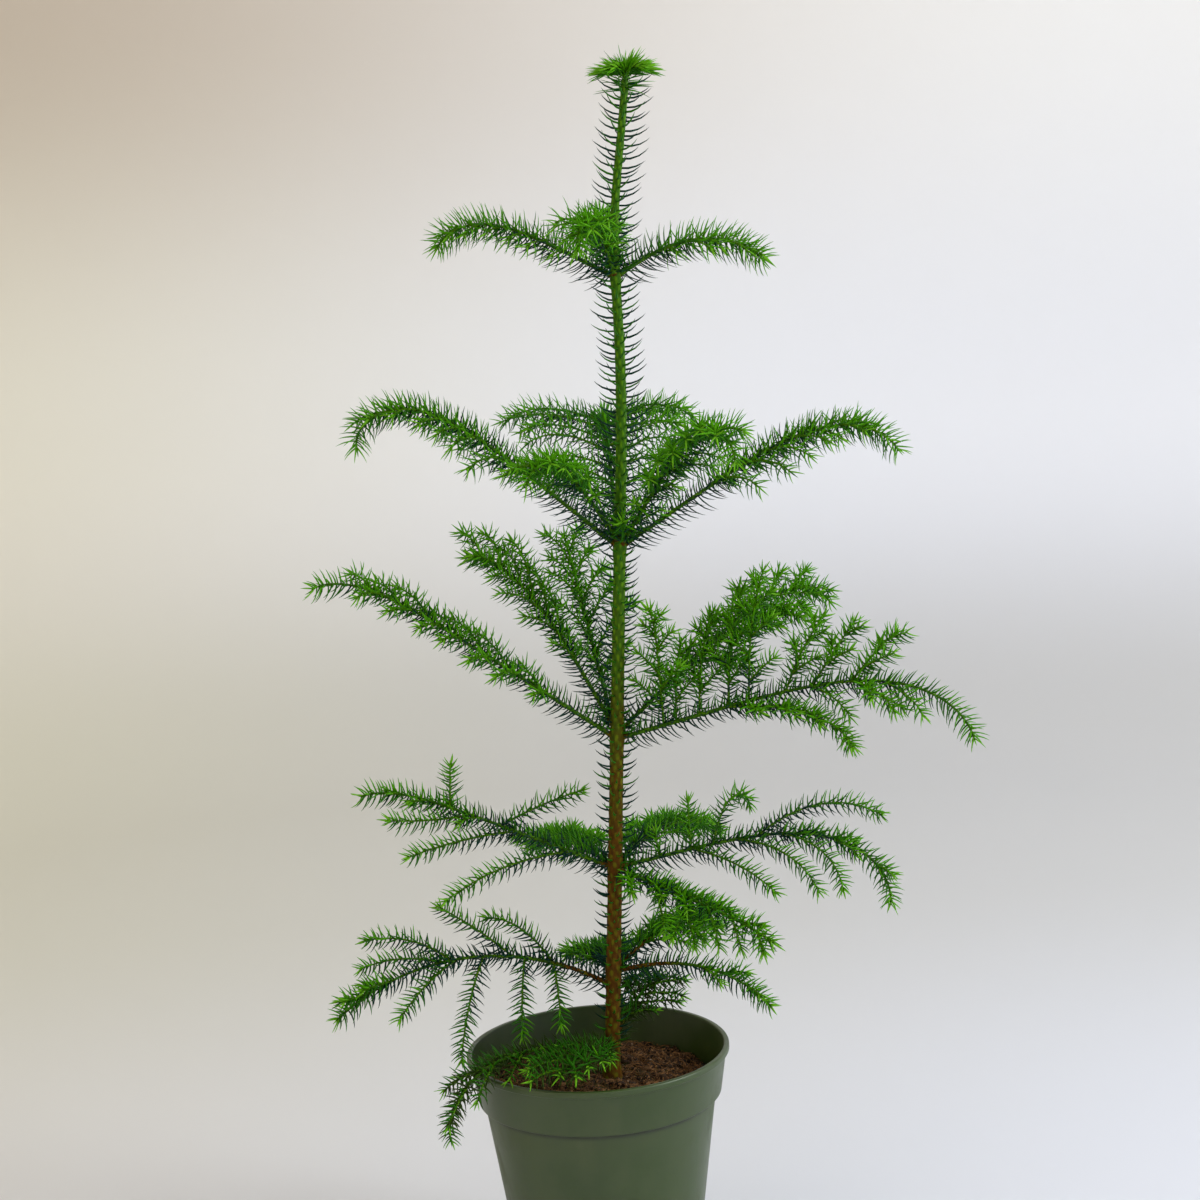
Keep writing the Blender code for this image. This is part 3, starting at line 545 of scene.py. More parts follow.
def outside_pot(points, margin):
    """For each point of an array, True where it is clear of the pot and of the soil in it."""
    radius = np.hypot(points[..., 0], points[..., 1])
    height = points[..., 2]
    above_pot = height > POT_HEIGHT + margin
    beside_pot = radius > LIP_RADIUS + margin
    inside_wall = radius < BAND_FOOT_RADIUS - 2 * POT_WALL - margin
    above_soil = height > soil_top(radius) + SOIL_BUMP + margin
    return above_pot | beside_pot | (inside_wall & above_soil)


def clear_share(path, margin):
    """Share of a path up to which it stays clear of the pot."""
    clear = outside_pot(np.array(path), margin)
    return 1.0 if clear.all() else float(np.argmin(clear)) / PATH_STEPS


def bough_shoots(bough):
    """Shoots of one bough: itself, its twigs, and the fine twigs of a few of them."""
    group, place = TIER_GROUP[bough.tier], (bough.tier, bough.side)
    path, first = bough_main(bough)
    shoots = []

    def add(rank, way, length, last, seed, start=0.0):
        shoots.append(Shoot(group, bough.tier, rank, way, length, start, last, seed))

    last = clear_share(path, BOUGH_TIP_RADIUS + POT_CLEARANCE)
    add("bough", path, bough.length, last, bough.seed, first)
    if place in ROOT_TWIGS:
        near = finer_paths(path, ROOT_TWIGS_END * bough.length, ROOT_TWIGS_END, bough.seed)
        for number, (fine, reach) in enumerate(near):
            add("fine", fine, reach, 1.0, 200 * bough.seed + number)
    for index, (twig, length) in enumerate(twig_paths(bough, path)):
        last = clear_share(twig, TWIG_ROOT_RADIUS + POT_CLEARANCE)
        seed = 100 * bough.seed + index
        if length * last >= MIN_TWIG:
            add("twig", twig, length, last, seed)
        if length * last >= FINE_FROM and place in FINE_BOUGHS:
            for number, (fine, reach) in enumerate(finer_paths(twig, length * last, last, seed)):
                if clear_share(fine, TWIG_ROOT_RADIUS + POT_CLEARANCE) == 1.0:
                    add("fine", fine, reach, 1.0, 100 * seed + number)
    return shoots


def grow():
    """Every needled stem above the trunk: boughs, their twigs and the rosette."""
    shoots = [shoot for bough in BOUGHS for shoot in bough_shoots(bough)]
    lean = math.degrees(TRUNK_LEAN)
    stem = limb_path(trunk_point(TRUNK_TOP), 0.0, 90.0 - lean, ROSETTE_LEAN, 1.0, ROSETTE_STEM)
    buds = [(stem, ROSETTE_STEM)]
    for index in range(ROSETTE_SHOOTS):
        azimuth = ROSETTE_TURN + 360 * index / ROSETTE_SHOOTS
        buds.append((limb_path(at(stem, ROSETTE_FORK), azimuth, ROSETTE_RISE, ROSETTE_FALL, 1.0,
                               ROSETTE_REACH), ROSETTE_REACH))
    for seed, (path, length) in enumerate(buds, start=ROSETTE_SEED):
        shoots.append(Shoot("upper", "top", "bud", path, length, 0.0, 1.0, seed))
    return shoots


# Meshes
def new_object(name, mesh):
    thing = bpy.data.objects.new(name, mesh)
    bpy.context.scene.collection.objects.link(thing)
    return thing


def object_from(bm, name):
    """A bmesh as a smooth object, with its doubles merged and its faces pointing out."""
    bmesh.ops.remove_doubles(bm, verts=bm.verts, dist=1e-7)
    bmesh.ops.recalc_face_normals(bm, faces=bm.faces)
    mesh = bpy.data.meshes.new(name)
    bm.to_mesh(mesh)
    bm.free()
    mesh.shade_smooth()
    return new_object(name, mesh)


def baked(thing):
    """Replace an object's mesh with its evaluated one and drop its modifiers."""
    depsgraph = bpy.context.evaluated_depsgraph_get()
    mesh = bpy.data.meshes.new_from_object(thing.evaluated_get(depsgraph))
    thing.modifiers.clear()
    thing.data = mesh
    return thing


def joined_copies(name, places, template):
    """Triangle mesh of many copies of a template: places holds each copy's points."""
    count, points = places.shape[:2]
    offsets = np.arange(count)[:, None, None] * points
    corners = (template[None] + offsets).reshape(-1)
    mesh = bpy.data.meshes.new(name)
    mesh.vertices.add(count * points)
    mesh.vertices.foreach_set("co", places.astype(np.float32).reshape(-1))
    mesh.loops.add(len(corners))
    mesh.loops.foreach_set("vertex_index", corners.astype(np.int32))
    mesh.polygons.add(len(corners) // 3)
    mesh.polygons.foreach_set("loop_start", np.arange(0, len(corners), 3, dtype=np.int32))
    mesh.polygons.foreach_set("use_smooth", np.ones(len(corners) // 3, dtype=bool))
    mesh.update(calc_edges=True)
    mesh.validate()
    return new_object(name, mesh)


def ringed_cone(sides, tip, rings, capped=True):
    """Bmesh of a cone or prism on the Z axis, one unit wide and high, cut into level rings."""
    bm = bmesh.new()
    bmesh.ops.create_cone(bm, cap_ends=capped, segments=sides, radius1=1.0, radius2=tip, depth=1.0)
    upright = [edge for edge in bm.edges if abs(edge.verts[0].co.z - edge.verts[1].co.z) > 0.5]
    bmesh.ops.subdivide_edges(bm, edges=upright, cuts=rings - 1)
    return bm


def template_from(bm):
    """Points and triangles of a small shape that is then copied many times."""
    bmesh.ops.triangulate(bm, faces=bm.faces)
    bmesh.ops.recalc_face_normals(bm, faces=bm.faces)
    bm.verts.ensure_lookup_table()
    points = np.array([tuple(vert.co) for vert in bm.verts])
    triangles = np.array([[vert.index for vert in face.verts] for face in bm.faces])
    bm.free()
    return points, triangles


def arc_corner(before, corner, after, radius):
    """Points of a round corner of a profile."""
    to_before, to_after = (before - corner).normalized(), (after - corner).normalized()
    half = 0.5 * to_before.angle(to_after)
    cut = min(radius / math.tan(half), 0.49 * (before - corner).length,
              0.49 * (after - corner).length)
    start, end = corner + to_before * cut, corner + to_after * cut
    return [start * (1 - t) ** 2 + corner * (2 * t * (1 - t)) + end * t ** 2
            for t in even(0.0, 1.0, CORNER_STEPS + 1)]


def round_profile(corners):
    """Profile in (radius, height) from corners that each have a rounding radius."""
    points = []
    for k, (radius, height, rounding) in enumerate(corners):
        corner = Vector((radius, height))
        if rounding == 0:
            points.append(corner)
            continue
        before, after = Vector(corners[k - 1][:2]), Vector(corners[k + 1][:2])
        points += arc_corner(before, corner, after, rounding)
    return points


def turned(profile, steps):
    """Turn a profile round the Z axis into a closed body."""
    bm = bmesh.new()
    chain = [bm.verts.new((point.x, 0.0, point.y)) for point in profile]
    edges = [bm.edges.new(pair) for pair in zip(chain, chain[1:])]
    bmesh.ops.spin(bm, geom=chain + edges, cent=(0, 0, 0), axis=(0, 0, 1), angle=2 * math.pi,
                   steps=steps, use_merge=True, use_duplicate=False)
    bmesh.ops.remove_doubles(bm, verts=bm.verts, dist=1e-6)
    return bm


def frames_along(points):
    """Tangent, and a side direction carried along the path without spinning."""
    count = len(points)
    ways = [(points[min(k + 1, count - 1)] - points[max(k - 1, 0)]).normalized()
            for k in range(count)]
    side = ways[0].orthogonal().normalized()
    sides = [side]
    for before, after in zip(ways, ways[1:]):
        side = (before.rotation_difference(after) @ side).normalized()
        sides.append(side)
    return ways, sides


def tube(points, radii, sides, relief=None, amount=0.0, level=False):
    """Closed tube: a cone primitive cut into rings and bent along its path.

    Returns its points, each with its ring and how far its relief is raised, and its faces.
    """
    bm = ringed_cone(sides, 1.0, len(points) - 1)
    ways, across = frames_along(points)
    places = []
    for index, vert in enumerate(bm.verts):
        ring = round((vert.co.z + 0.5) * (len(points) - 1))
        angle = math.atan2(vert.co.y, vert.co.x)
        raised = relief(ring, angle) if relief else 0.5
        if level:
            offset = Vector((math.cos(angle), math.sin(angle), 0.0))
        else:
            other = ways[ring].cross(across[ring])
            offset = across[ring] * math.cos(angle) + other * math.sin(angle)
        places.append((points[ring] + offset * (radii[ring] + amount * raised), ring, raised))
        vert.index = index
    faces = [[vert.index for vert in face.verts] for face in bm.faces]
    bm.free()
    return places, faces


class Joined:
    """Tubes gathered into one mesh that holds how young and raised its bark is at each point."""

    def __init__(self):
        self.points, self.faces, self.young, self.raised = [], [], [], []

    def add(self, places, faces, young):
        """Add a tube with how young its bark is at each of its rings."""
        start = len(self.points)
        self.points += [point for point, _, _ in places]
        self.young += [young[ring] for _, ring, _ in places]
        self.raised += [raised for _, _, raised in places]
        self.faces += [[start + corner for corner in face] for face in faces]

    def finish(self, name):
        mesh = bpy.data.meshes.new(name)
        mesh.from_pydata(self.points, [], self.faces)
        for key, values in (("young", self.young), ("raised", self.raised)):
            mesh.attributes.new(key, "FLOAT", "POINT").data.foreach_set("value", values)
        mesh.shade_smooth()
        return new_object(name, mesh)


# Materials
class Nodes:
    """A node tree under construction, with short calls that add nodes and feed their sockets."""

    def __init__(self, tree):
        self.nodes, self.links = tree.nodes, tree.links

    def feed(self, socket, value):
        """Link a socket to another one, or set it to a number, a vector or a colour."""
        if isinstance(value, bpy.types.NodeSocket):
            self.links.new(value, socket)
        elif socket.type == "RGBA":
            socket.default_value = (*value, 1.0)
        else:
            socket.default_value = value

    def add(self, kind, inputs=(), **settings):
        """New node with its settings made and its inputs fed. Returns its outputs."""
        node = self.nodes.new("ShaderNode" + kind)
        for key, value in settings.items():
            setattr(node, key, value)
        for socket, value in dict(inputs).items():
            self.feed(node.inputs[socket], value)
        return node.outputs

    def mix(self, factor, first, second):
        """Mix two colours, each a plain colour or a socket."""
        return self.add("Mix", {"Factor": factor, 6: first, 7: second}, data_type="RGBA")[2]

    def math(self, operation, *values, **settings):
        numbers = dict(enumerate(values))
        return self.add("Math", numbers, operation=operation, **settings)["Value"]


def new_group(name, inputs, outputs):
    """Shader node group with its sockets: the group, its nodes, its start and its end."""
    group = bpy.data.node_groups.new(name, "ShaderNodeTree")
    for socket, kind, value in inputs:
        made = group.interface.new_socket(name=socket, in_out="INPUT",
                                          socket_type="NodeSocket" + kind)
        made.default_value = value
    for socket, kind in outputs:
        group.interface.new_socket(name=socket, in_out="OUTPUT", socket_type="NodeSocket" + kind)
    start, end = group.nodes.new("NodeGroupInput"), group.nodes.new("NodeGroupOutput")
    return group, Nodes(group), start.outputs, end.inputs


def mottle_group():
    """Two tones mixed by soft noise on Object coordinates, with the mask it used."""
    if "Mottle" in bpy.data.node_groups:
        return bpy.data.node_groups["Mottle"]
    group, tree, start, end = new_group("Mottle", (
        ("Dark", "Color", (0.1, 0.1, 0.1, 1.0)), ("Light", "Color", (0.5, 0.5, 0.5, 1.0)),
        ("Scale", "Float", 50.0), ("Contrast", "Float", 1.0),
        ("Squash", "Vector", (1.0, 1.0, 1.0))),
        (("Color", "Color"), ("Mask", "Float")))
    place = tree.add("TexCoord")["Object"]
    squashed = tree.add("VectorMath", {0: place, 1: start["Squash"]},
                        operation="MULTIPLY")["Vector"]
    cloud = tree.add("TexNoise", {"Vector": squashed, "Scale": start["Scale"], "Detail": 5.0,
                                  "Roughness": 0.6})["Fac"]
    centred = tree.math("SUBTRACT", cloud, 0.5)
    mask = tree.math("MULTIPLY_ADD", centred, start["Contrast"], 0.5, use_clamp=True)
    tree.feed(end["Color"], tree.mix(mask, start["Dark"], start["Light"]))
    tree.feed(end["Mask"], mask)
    return group


def rough_group():
    """Height of a surface: coarse dents and fine grain on Object coordinates."""
    if "Surface height" in bpy.data.node_groups:
        return bpy.data.node_groups["Surface height"]
    group, tree, start, end = new_group("Surface height", (
        ("Coarse scale", "Float", 60.0), ("Fine scale", "Float", 600.0),
        ("Fine share", "Float", 0.3)),
        (("Height", "Float"),))
    place = tree.add("TexCoord")["Object"]
    coarse = tree.add("TexNoise", {"Vector": place, "Scale": start["Coarse scale"]})["Fac"]
    fine = tree.add("TexNoise", {"Vector": place, "Scale": start["Fine scale"],
                                 "Detail": 3.0})["Fac"]
    height = tree.add("Mix", {"Factor": start["Fine share"], "A": coarse, "B": fine})["Result"]
    tree.feed(end["Height"], height)
    return group


class Finish(Nodes):
    """One material under construction, round its Principled shader."""

    def __init__(self, name, roughness, specular):
        self.material = bpy.data.materials.new(name)
        self.material.use_nodes = True
        super().__init__(self.material.node_tree)
        self.shader = self.nodes["Principled BSDF"].inputs
        self.feed(self.shader["Roughness"], roughness)
        self.feed(self.shader["Specular IOR Level"], specular)

    def mottle(self, dark, light, scale, contrast, squash=(1.0, 1.0, 1.0)):
        """Mottled colour of two tones, and its mask."""
        made = self.add("Group", {"Dark": dark, "Light": light, "Scale": scale,
                                  "Contrast": contrast, "Squash": squash},
                        node_tree=mottle_group())
        return made["Color"], made["Mask"]

    def patches(self, scale, contrast, squash=(1.0, 1.0, 1.0)):
        """Mask of soft patches."""
        return self.mottle((0.0, 0.0, 0.0), (1.0, 1.0, 1.0), scale, contrast, squash)[1]

    def bump(self, coarse, fine, fine_share, strength, distance):
        height = self.add("Group", {"Coarse scale": coarse, "Fine scale": fine,
                                    "Fine share": fine_share}, node_tree=rough_group())["Height"]
        normal = self.add("Bump", {"Strength": strength, "Distance": distance, "Height": height})
        self.feed(self.shader["Normal"], normal["Normal"])

    def ramp(self, value, low, high, to_low=0.0, to_high=1.0):
        """Map a value between two limits on to another range."""
        limits = {"From Min": low, "From Max": high, "To Min": to_low, "To Max": to_high}
        return self.add("MapRange", {"Value": value, **limits},
                        interpolation_type="SMOOTHSTEP")["Result"]

    def attribute(self, name):
        return self.add("Attribute", attribute_name=name)["Fac"]

    def place(self, axis):
        """One Object coordinate as a value."""
        return self.add("SeparateXYZ", {"Vector": self.add("TexCoord")["Object"]})[axis]

    def colour(self, value):
        self.feed(self.shader["Base Color"], value)

    def roughness(self, value):
        self.feed(self.shader["Roughness"], value)


def nodes_named(*starts):
    """The frame's nodes whose names start in one of these ways."""
    return [name for name in frame["nodes"] if name.startswith(starts)]


def dress(thing, finish, slot, *nodes):
    """Give a piece its material and ride, and hide the nodes it stands for. The slot argument is
    not used.
    """
    thing.data.materials.clear()
    thing.data.materials.append(finish.material)
    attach(thing, BODY)
    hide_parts(*nodes)
    return thing


def pot_finish(settings):
    """Satin moulded plastic with uneven tone, dust, painted shade in the corner under the band, and
    rubbed marks.
    """
    finish = Finish("moulded_plastic", 0.40, 0.62)
    tone, _ = finish.mottle(settings.dark, settings.light, scale=14.0, contrast=0.9)
    streaks = finish.patches(scale=60.0, contrast=2.6, squash=(1.0, 1.0, 0.12))
    worn = finish.math("MULTIPLY", streaks, finish.patches(scale=34.0, contrast=4.0))
    height = finish.place("Z")
    below_band = finish.ramp(height, BODY_TOP_HEIGHT + 0.002, BODY_TOP_HEIGHT)
    under_band = finish.ramp(height, BODY_TOP_HEIGHT - 0.030, BODY_TOP_HEIGHT)
    near_foot = finish.ramp(height, 0.030, 0.0)
    ledge = finish.math("MAXIMUM", finish.math("MULTIPLY", under_band, below_band), near_foot)
    dusty = finish.math("ADD", finish.math("MULTIPLY", ledge, 0.35),
                        finish.math("MULTIPLY", worn, 0.9))
    amount = finish.math("MULTIPLY", dusty, settings.dust_share)
    # Painted shade: a thin dark line just under the band, in the corner where the band's step would
    # cast its shadow.
    corner = finish.ramp(height, BODY_TOP_HEIGHT - 0.0035, BODY_TOP_HEIGHT - 0.0005)
    painted_band_shade = finish.math("MULTIPLY", corner, finish.math("MULTIPLY", below_band, 0.75))
    finish.colour(finish.mix(painted_band_shade, finish.mix(amount, tone, settings.dust), settings.painted_band_shade))
    finish.roughness(finish.ramp(dusty, 0.0, 1.0, 0.36, 0.62))
    finish.bump(coarse=45.0, fine=1400.0, fine_share=0.35, strength=0.25, distance=0.00025)
    return finish


def soil_finish(name, settings, dark, light, scale):
    """Damp peat, bark or moss: two mixed tones with rare specks of dry fibre."""
    finish = Finish(name, 0.92, 0.25)
    tone, _ = finish.mottle(dark, light, scale, contrast=3.0)
    _, speck = finish.mottle(tone, settings.fibre, scale * 3.1, contrast=5.0)
    finish.colour(finish.mix(finish.ramp(speck, 0.72, 0.95), tone, settings.fibre))
    finish.bump(coarse=500.0, fine=2200.0, fine_share=0.5, strength=0.6, distance=0.0006)
    return finish


def bark_finish(settings):
    """Bark with a cushion under each needle, painted highlights speckled on the cushions, and brown
    furrows that fade on young stems.
    """
    finish = Finish("stem_bark", 0.74, 0.10)
    patch = finish.patches(scale=95.0, contrast=2.2, squash=(1.0, 1.0, 0.5))
    brown, _ = finish.mottle(settings.scar, settings.old, scale=420.0, contrast=2.6,
                             squash=(1.0, 1.0, 0.4))
    # Painted highlights: fine speckles of the light gold tone on the cushions; the same speckles
    # turn more of the bark to the cushion colour.
    highlighted_cushion, highlight_mask = finish.mottle(settings.olive, settings.cushion_highlight, scale=560.0, contrast=3.2,
                                      squash=(1.0, 1.0, 0.5))
    uneven = finish.math("ADD", finish.attribute("young"), finish.math("MULTIPLY", patch, 0.30))
    youth = finish.ramp(uneven, 0.35, 1.0)
    furrow = finish.mix(youth, brown, settings.young)
    cushion = finish.mix(youth, highlighted_cushion, settings.pale)
    shade = finish.math("ADD", finish.attribute("raised"), finish.math("MULTIPLY", patch, -0.25))
    shade = finish.math("ADD", shade, finish.math("MULTIPLY", highlight_mask, 0.45))
    finish.colour(finish.mix(finish.ramp(shade, 0.22, 0.95), furrow, cushion))
    finish.roughness(finish.ramp(youth, 0.0, 1.0, 0.82, 0.55))
    finish.bump(coarse=420.0, fine=1500.0, fine_share=0.4, strength=0.5, distance=0.0003)
    return finish


def needle_finish(name, colour):
    """Waxy needle of one base colour, a little lighter and darker from place to place."""
    finish = Finish(name, 0.50, 0.08)
    dark = [0.78 * share for share in colour]
    light = [min(1.0, 1.22 * share) for share in colour]
    tone, mask = finish.mottle(dark, light, scale=190.0, contrast=2.2)
    finish.colour(tone)
    finish.roughness(finish.ramp(mask, 0.0, 1.0, 0.52, 0.40))
    return finish


# Needles: how wide one is at each of its rings, and the columns of a row that places one
NEEDLE_SHARES = (0.0, 0.28, 0.58, 0.83)
NEEDLE_GIRTHS = (0.95, 1.0, 0.74, 0.40)
NEEDLE_SIDES = 4
FOOT, WAY, OUTWARD = slice(0, 3), slice(3, 6), slice(6, 9)
LENGTH, GIRTH, FIRST_LEAN, LAST_LEAN = 9, 10, 11, 12
STRAIGHT = 1e-3
FOOT_SHARE = 0.75


def needle_template():
    """Ring and corner of each point of a needle, and its triangles: a pointed, four-sided awl."""
    points, triangles = template_from(ringed_cone(NEEDLE_SIDES, 0.0, len(NEEDLE_SHARES)))
    rings = np.rint((points[:, 2] + 0.5) * len(NEEDLE_SHARES)).astype(int)
    corners = np.arctan2(points[:, 1], points[:, 0])
    return rings, corners, triangles


def needle_curve(rows, shares):
    """At shares of each needle: how far it has gone along and out of its stem, and its lean."""
    length, first, last = (rows[:, column, None] for column in (LENGTH, FIRST_LEAN, LAST_LEAN))
    bend = np.where(np.abs(last - first) < STRAIGHT, STRAIGHT, last - first)
    lean = first + bend * shares
    along = length * (np.sin(lean) - np.sin(first)) / bend
    outwards = length * (np.cos(first) - np.cos(lean)) / bend
    return along, outwards, lean


def needle_object(name, rows, settings, template):
    """Joined mesh of needles, one for each row."""
    rings, corners, triangles = template
    girths = np.array(NEEDLE_GIRTHS + (0.0,))[rings]
    along, outwards, lean = needle_curve(rows, np.array(NEEDLE_SHARES + (1.0,))[rings])
    wide = (0.5 * settings.width * girths * np.cos(corners))[None] * rows[:, GIRTH, None]
    thick = (0.5 * settings.thickness * girths * np.sin(corners))[None] * rows[:, GIRTH, None]
    along = along - thick * np.sin(lean)
    outwards = outwards + thick * np.cos(lean)
    foot, way, outward = (rows[:, None, column] for column in (FOOT, WAY, OUTWARD))
    across = np.cross(way, outward)
    places = (foot + along[..., None] * way + outwards[..., None] * outward
              + wide[..., None] * across)
    return joined_copies(name, places, triangles)


def sample_frames(path, shares):
    """Points, ways and side directions of a path at given shares."""
    place = np.clip(shares, 0.0, 1.0) * (len(path) - 1)
    step = np.minimum(place.astype(int), len(path) - 2)
    blend = (place - step)[:, None]
    point, way, side = (values[step] * (1 - blend) + values[step + 1] * blend
                        for values in map(np.array, (path, *frames_along(path))))
    way /= np.linalg.norm(way, axis=1)[:, None]
    side -= (side * way).sum(axis=1)[:, None] * way
    side /= np.linalg.norm(side, axis=1)[:, None]
    return point, way, side


def spiral_rows(path, shares, radii, length, girth, first, last, draw, lift=0.0, order=1.0):
    """Needles on a golden-angle spiral along a path, and how far each one faces up."""
    count = len(shares)
    point, way, side = sample_frames(path, shares)
    angle = np.arange(count) * GOLDEN_ANGLE + draw.uniform(-0.22, 0.22, count) * order
    outward = np.cos(angle)[:, None] * side + np.sin(angle)[:, None] * np.cross(way, side)
    facing = outward[:, 2].copy()
    outward = outward + lift * (np.array((0.0, 0.0, 1.0)) - way[:, 2:3] * way)
    outward /= np.linalg.norm(outward, axis=1)[:, None]
    foot = point + outward * (radii * FOOT_SHARE)[:, None]
    first = np.radians(first + draw.normal(0.0, 6.0, count) * order)
    last = np.radians(last + draw.normal(0.0, 7.0, count) * order)
    length = length * draw.uniform(0.86, 1.12, count)
    girth = girth * draw.uniform(0.9, 1.1, count)
    return np.column_stack((foot, way, outward, length, girth, first, last)), facing


def needle_tip(rows):
    """Where each needle ends."""
    along, outwards, _ = needle_curve(rows, 1.0)
    return rows[:, FOOT] + along * rows[:, WAY] + outwards * rows[:, OUTWARD]


# Needles of boughs and twigs, by tier: how old they look, their pitch on twigs, length and girth
TIER_AGE = {"a": -0.08, "b": 0.10, "c": 0.06, "d": 0.15, "e": 0.35, "f": 0.82}
TIER_PITCH = {"a": 1.90, "b": 1.25, "c": 1.00, "d": 0.95, "e": 0.98, "f": 1.05}
TIER_NEEDLE = {"a": 0.0134, "b": 0.0128, "c": 0.0106, "d": 0.0100, "e": 0.0100, "f": 0.0092}
TIER_GIRTH = {"a": 0.80, "b": 0.86, "c": 0.92, "d": 0.95, "e": 0.98, "f": 0.90}
TOP_BOUGH_PITCH = 0.78
TWIG_NEEDLE_SHARE = 0.88
TIP_LENGTH = 0.007
TIP_CROWDING = 1.3
BUD_LENGTH = 0.0022
INNER_LENGTH = 0.060
AGEING_LENGTH = 0.080
DEEP_AGE = 0.90
GREEN_AGE = 0.34

# How needles stand: first and last lean in degrees, and how far they turn up towards the light
Stance = namedtuple("Stance", "first last lift")
ON_BOUGH = Stance(80.0, 54.0, 0.12)
ON_TWIG = Stance(76.0, 52.0, 0.06)

# Needles of the rosette's shoots, and the whorl of long ones round its foot
BUD_PITCH = 0.00028
BUD_RADIUS = 0.0012
BUD_GIRTH = 0.84
BUD_LIFT = 0.04
WHORL_COUNT = 48
WHORL_SEED = 77
WHORL_START = 0.007
WHORL_SPAN = 0.013
WHORL_LENGTH = 0.0165
WHORL_GIRTH = 0.66


def shoot_rows(shoot, settings):
    """Needles of a bough or twig, and which kind each one is."""
    draw = np.random.default_rng(shoot.seed)
    is_bough = shoot.rank == "bough"
    if is_bough:
        pitch = settings.bough_pitch * (TOP_BOUGH_PITCH if shoot.tier == "a" else 1.0)
    else:
        pitch = settings.twig_pitch * TIER_PITCH[shoot.tier]
    span = shoot.length * (shoot.last - shoot.first)
    crowded = max(span - TIP_LENGTH, 0.0)
    distance = np.concatenate((np.arange(0.0, crowded, pitch),
                               np.arange(crowded, span, pitch / TIP_CROWDING)))
    count = len(distance)
    distance = distance + draw.uniform(-0.3, 0.3, count) * pitch
    shares = shoot.first + distance / shoot.length
    to_tip = span - distance
    closing = np.clip(1.0 - to_tip / TIP_LENGTH, 0.0, 1.0)
    if is_bough:
        stance = ON_BOUGH
        inner = np.clip(1.0 - distance / INNER_LENGTH, 0.0, 1.0)
        length = TIER_NEEDLE[shoot.tier] + 0.0016 * inner
        radii = tapered(BOUGH_ROOT_RADIUS, BOUGH_TIP_RADIUS, shares)
    else:
        stance = ON_TWIG
        middle = np.sin(math.pi * np.clip(distance / max(span, 1e-6), 0.0, 1.0))
        length = TWIG_NEEDLE_SHARE * TIER_NEEDLE[shoot.tier] + 0.0012 * middle
        radii = tapered(TWIG_ROOT_RADIUS, TWIG_TIP_RADIUS, shares)
    first = stance.first - 36.0 * closing ** 1.3
    last = stance.last - 34.0 * closing
    length = length * (1.0 - 0.22 * closing)
    rows, facing = spiral_rows(shoot.path, shares, radii, length,
                               np.full(count, TIER_GIRTH[shoot.tier]),
                               first, last, draw, stance.lift)
    under = np.clip(-facing - 0.3, 0.0, 0.7) * (1.0 if is_bough else 0.4)
    rows[:, LENGTH] *= 1.0 + 0.22 * under
    rows[:, LAST_LEAN] += np.radians(8.0) * facing - np.radians(14.0) * under
    age_and_shade = np.clip(to_tip / AGEING_LENGTH, 0.0, 1.0) + TIER_AGE[shoot.tier]
    # Painted light and shade: needles facing up count as younger and get the lighter colours,
    # needles facing down count as older and get the darker ones. Distance from the tip and the tier
    # give real age.
    age_and_shade = age_and_shade - 0.40 * facing + draw.normal(0.0, 0.12, count)
    oldest = "mossy" if shoot.tier == "f" else "deep"
    kind = np.where(age_and_shade > DEEP_AGE, oldest, np.where(age_and_shade > GREEN_AGE, "green", "fresh"))
    return rows, np.where(to_tip < BUD_LENGTH, "tip", kind)


def bud_rows(shoot, settings):
    """Needles that close round one shoot of the rosette, whose middle one stands upright."""
    draw = np.random.default_rng(shoot.seed)
    shares = np.arange(0.0, shoot.length, BUD_PITCH) / shoot.length
    upright = shoot.path[-1].z - shoot.path[0].z > 0.8 * shoot.length
    first, last, length = (34.0, 8.0, 0.0132) if upright else (42.0, 15.0, 0.0116)
    radii, lengths, girths = (np.full(len(shares), value)
                              for value in (BUD_RADIUS, length, BUD_GIRTH))
    rows, facing = spiral_rows(shoot.path, shares, radii, lengths, girths, first - 28.0 * shares,
                               last - 8.0 * shares, draw, BUD_LIFT)
    # Tip colour near the shoot's end, where the needles close round the bud, but only on needles
    # not facing down, as painted light; needles facing down on the lower part get the darker green
    # as painted shade.
    kind = np.where((shares > 0.4) & (facing > -0.4) | upright, "tip", "fresh")
    return rows, np.where((facing < -0.6) & (shares < 0.7), "green", kind)


# Needles on a stretch of the trunk: the tier at its foot, length, pitch, first and last lean
Sleeve = namedtuple("Sleeve", "name tier length pitch first last")
SLEEVES = (
    Sleeve("leader", "a", 0.0172, 0.00104, 92, 40),
    Sleeve("a_b", "b", 0.0158, 0.00104, 92, 40),
    Sleeve("b_c", "c", 0.0125, 0.00100, 92, 36),
    Sleeve("c_d", "d", 0.0122, 0.00098, 92, 36),
    Sleeve("d_e", "e", 0.0118, 0.00095, 90, 38),
    Sleeve("e_f", "f", 0.0110, 0.00100, 88, 42),
)
SLEEVE_SEED = 901
SLEEVE_GIRTH = 1.18
ABOVE_TIER = 0.002
BELOW_TIER = 0.001


def trunk_path(low, span):
    return [trunk_point(low + span * k / PATH_STEPS) for k in range(PATH_STEPS + 1)]


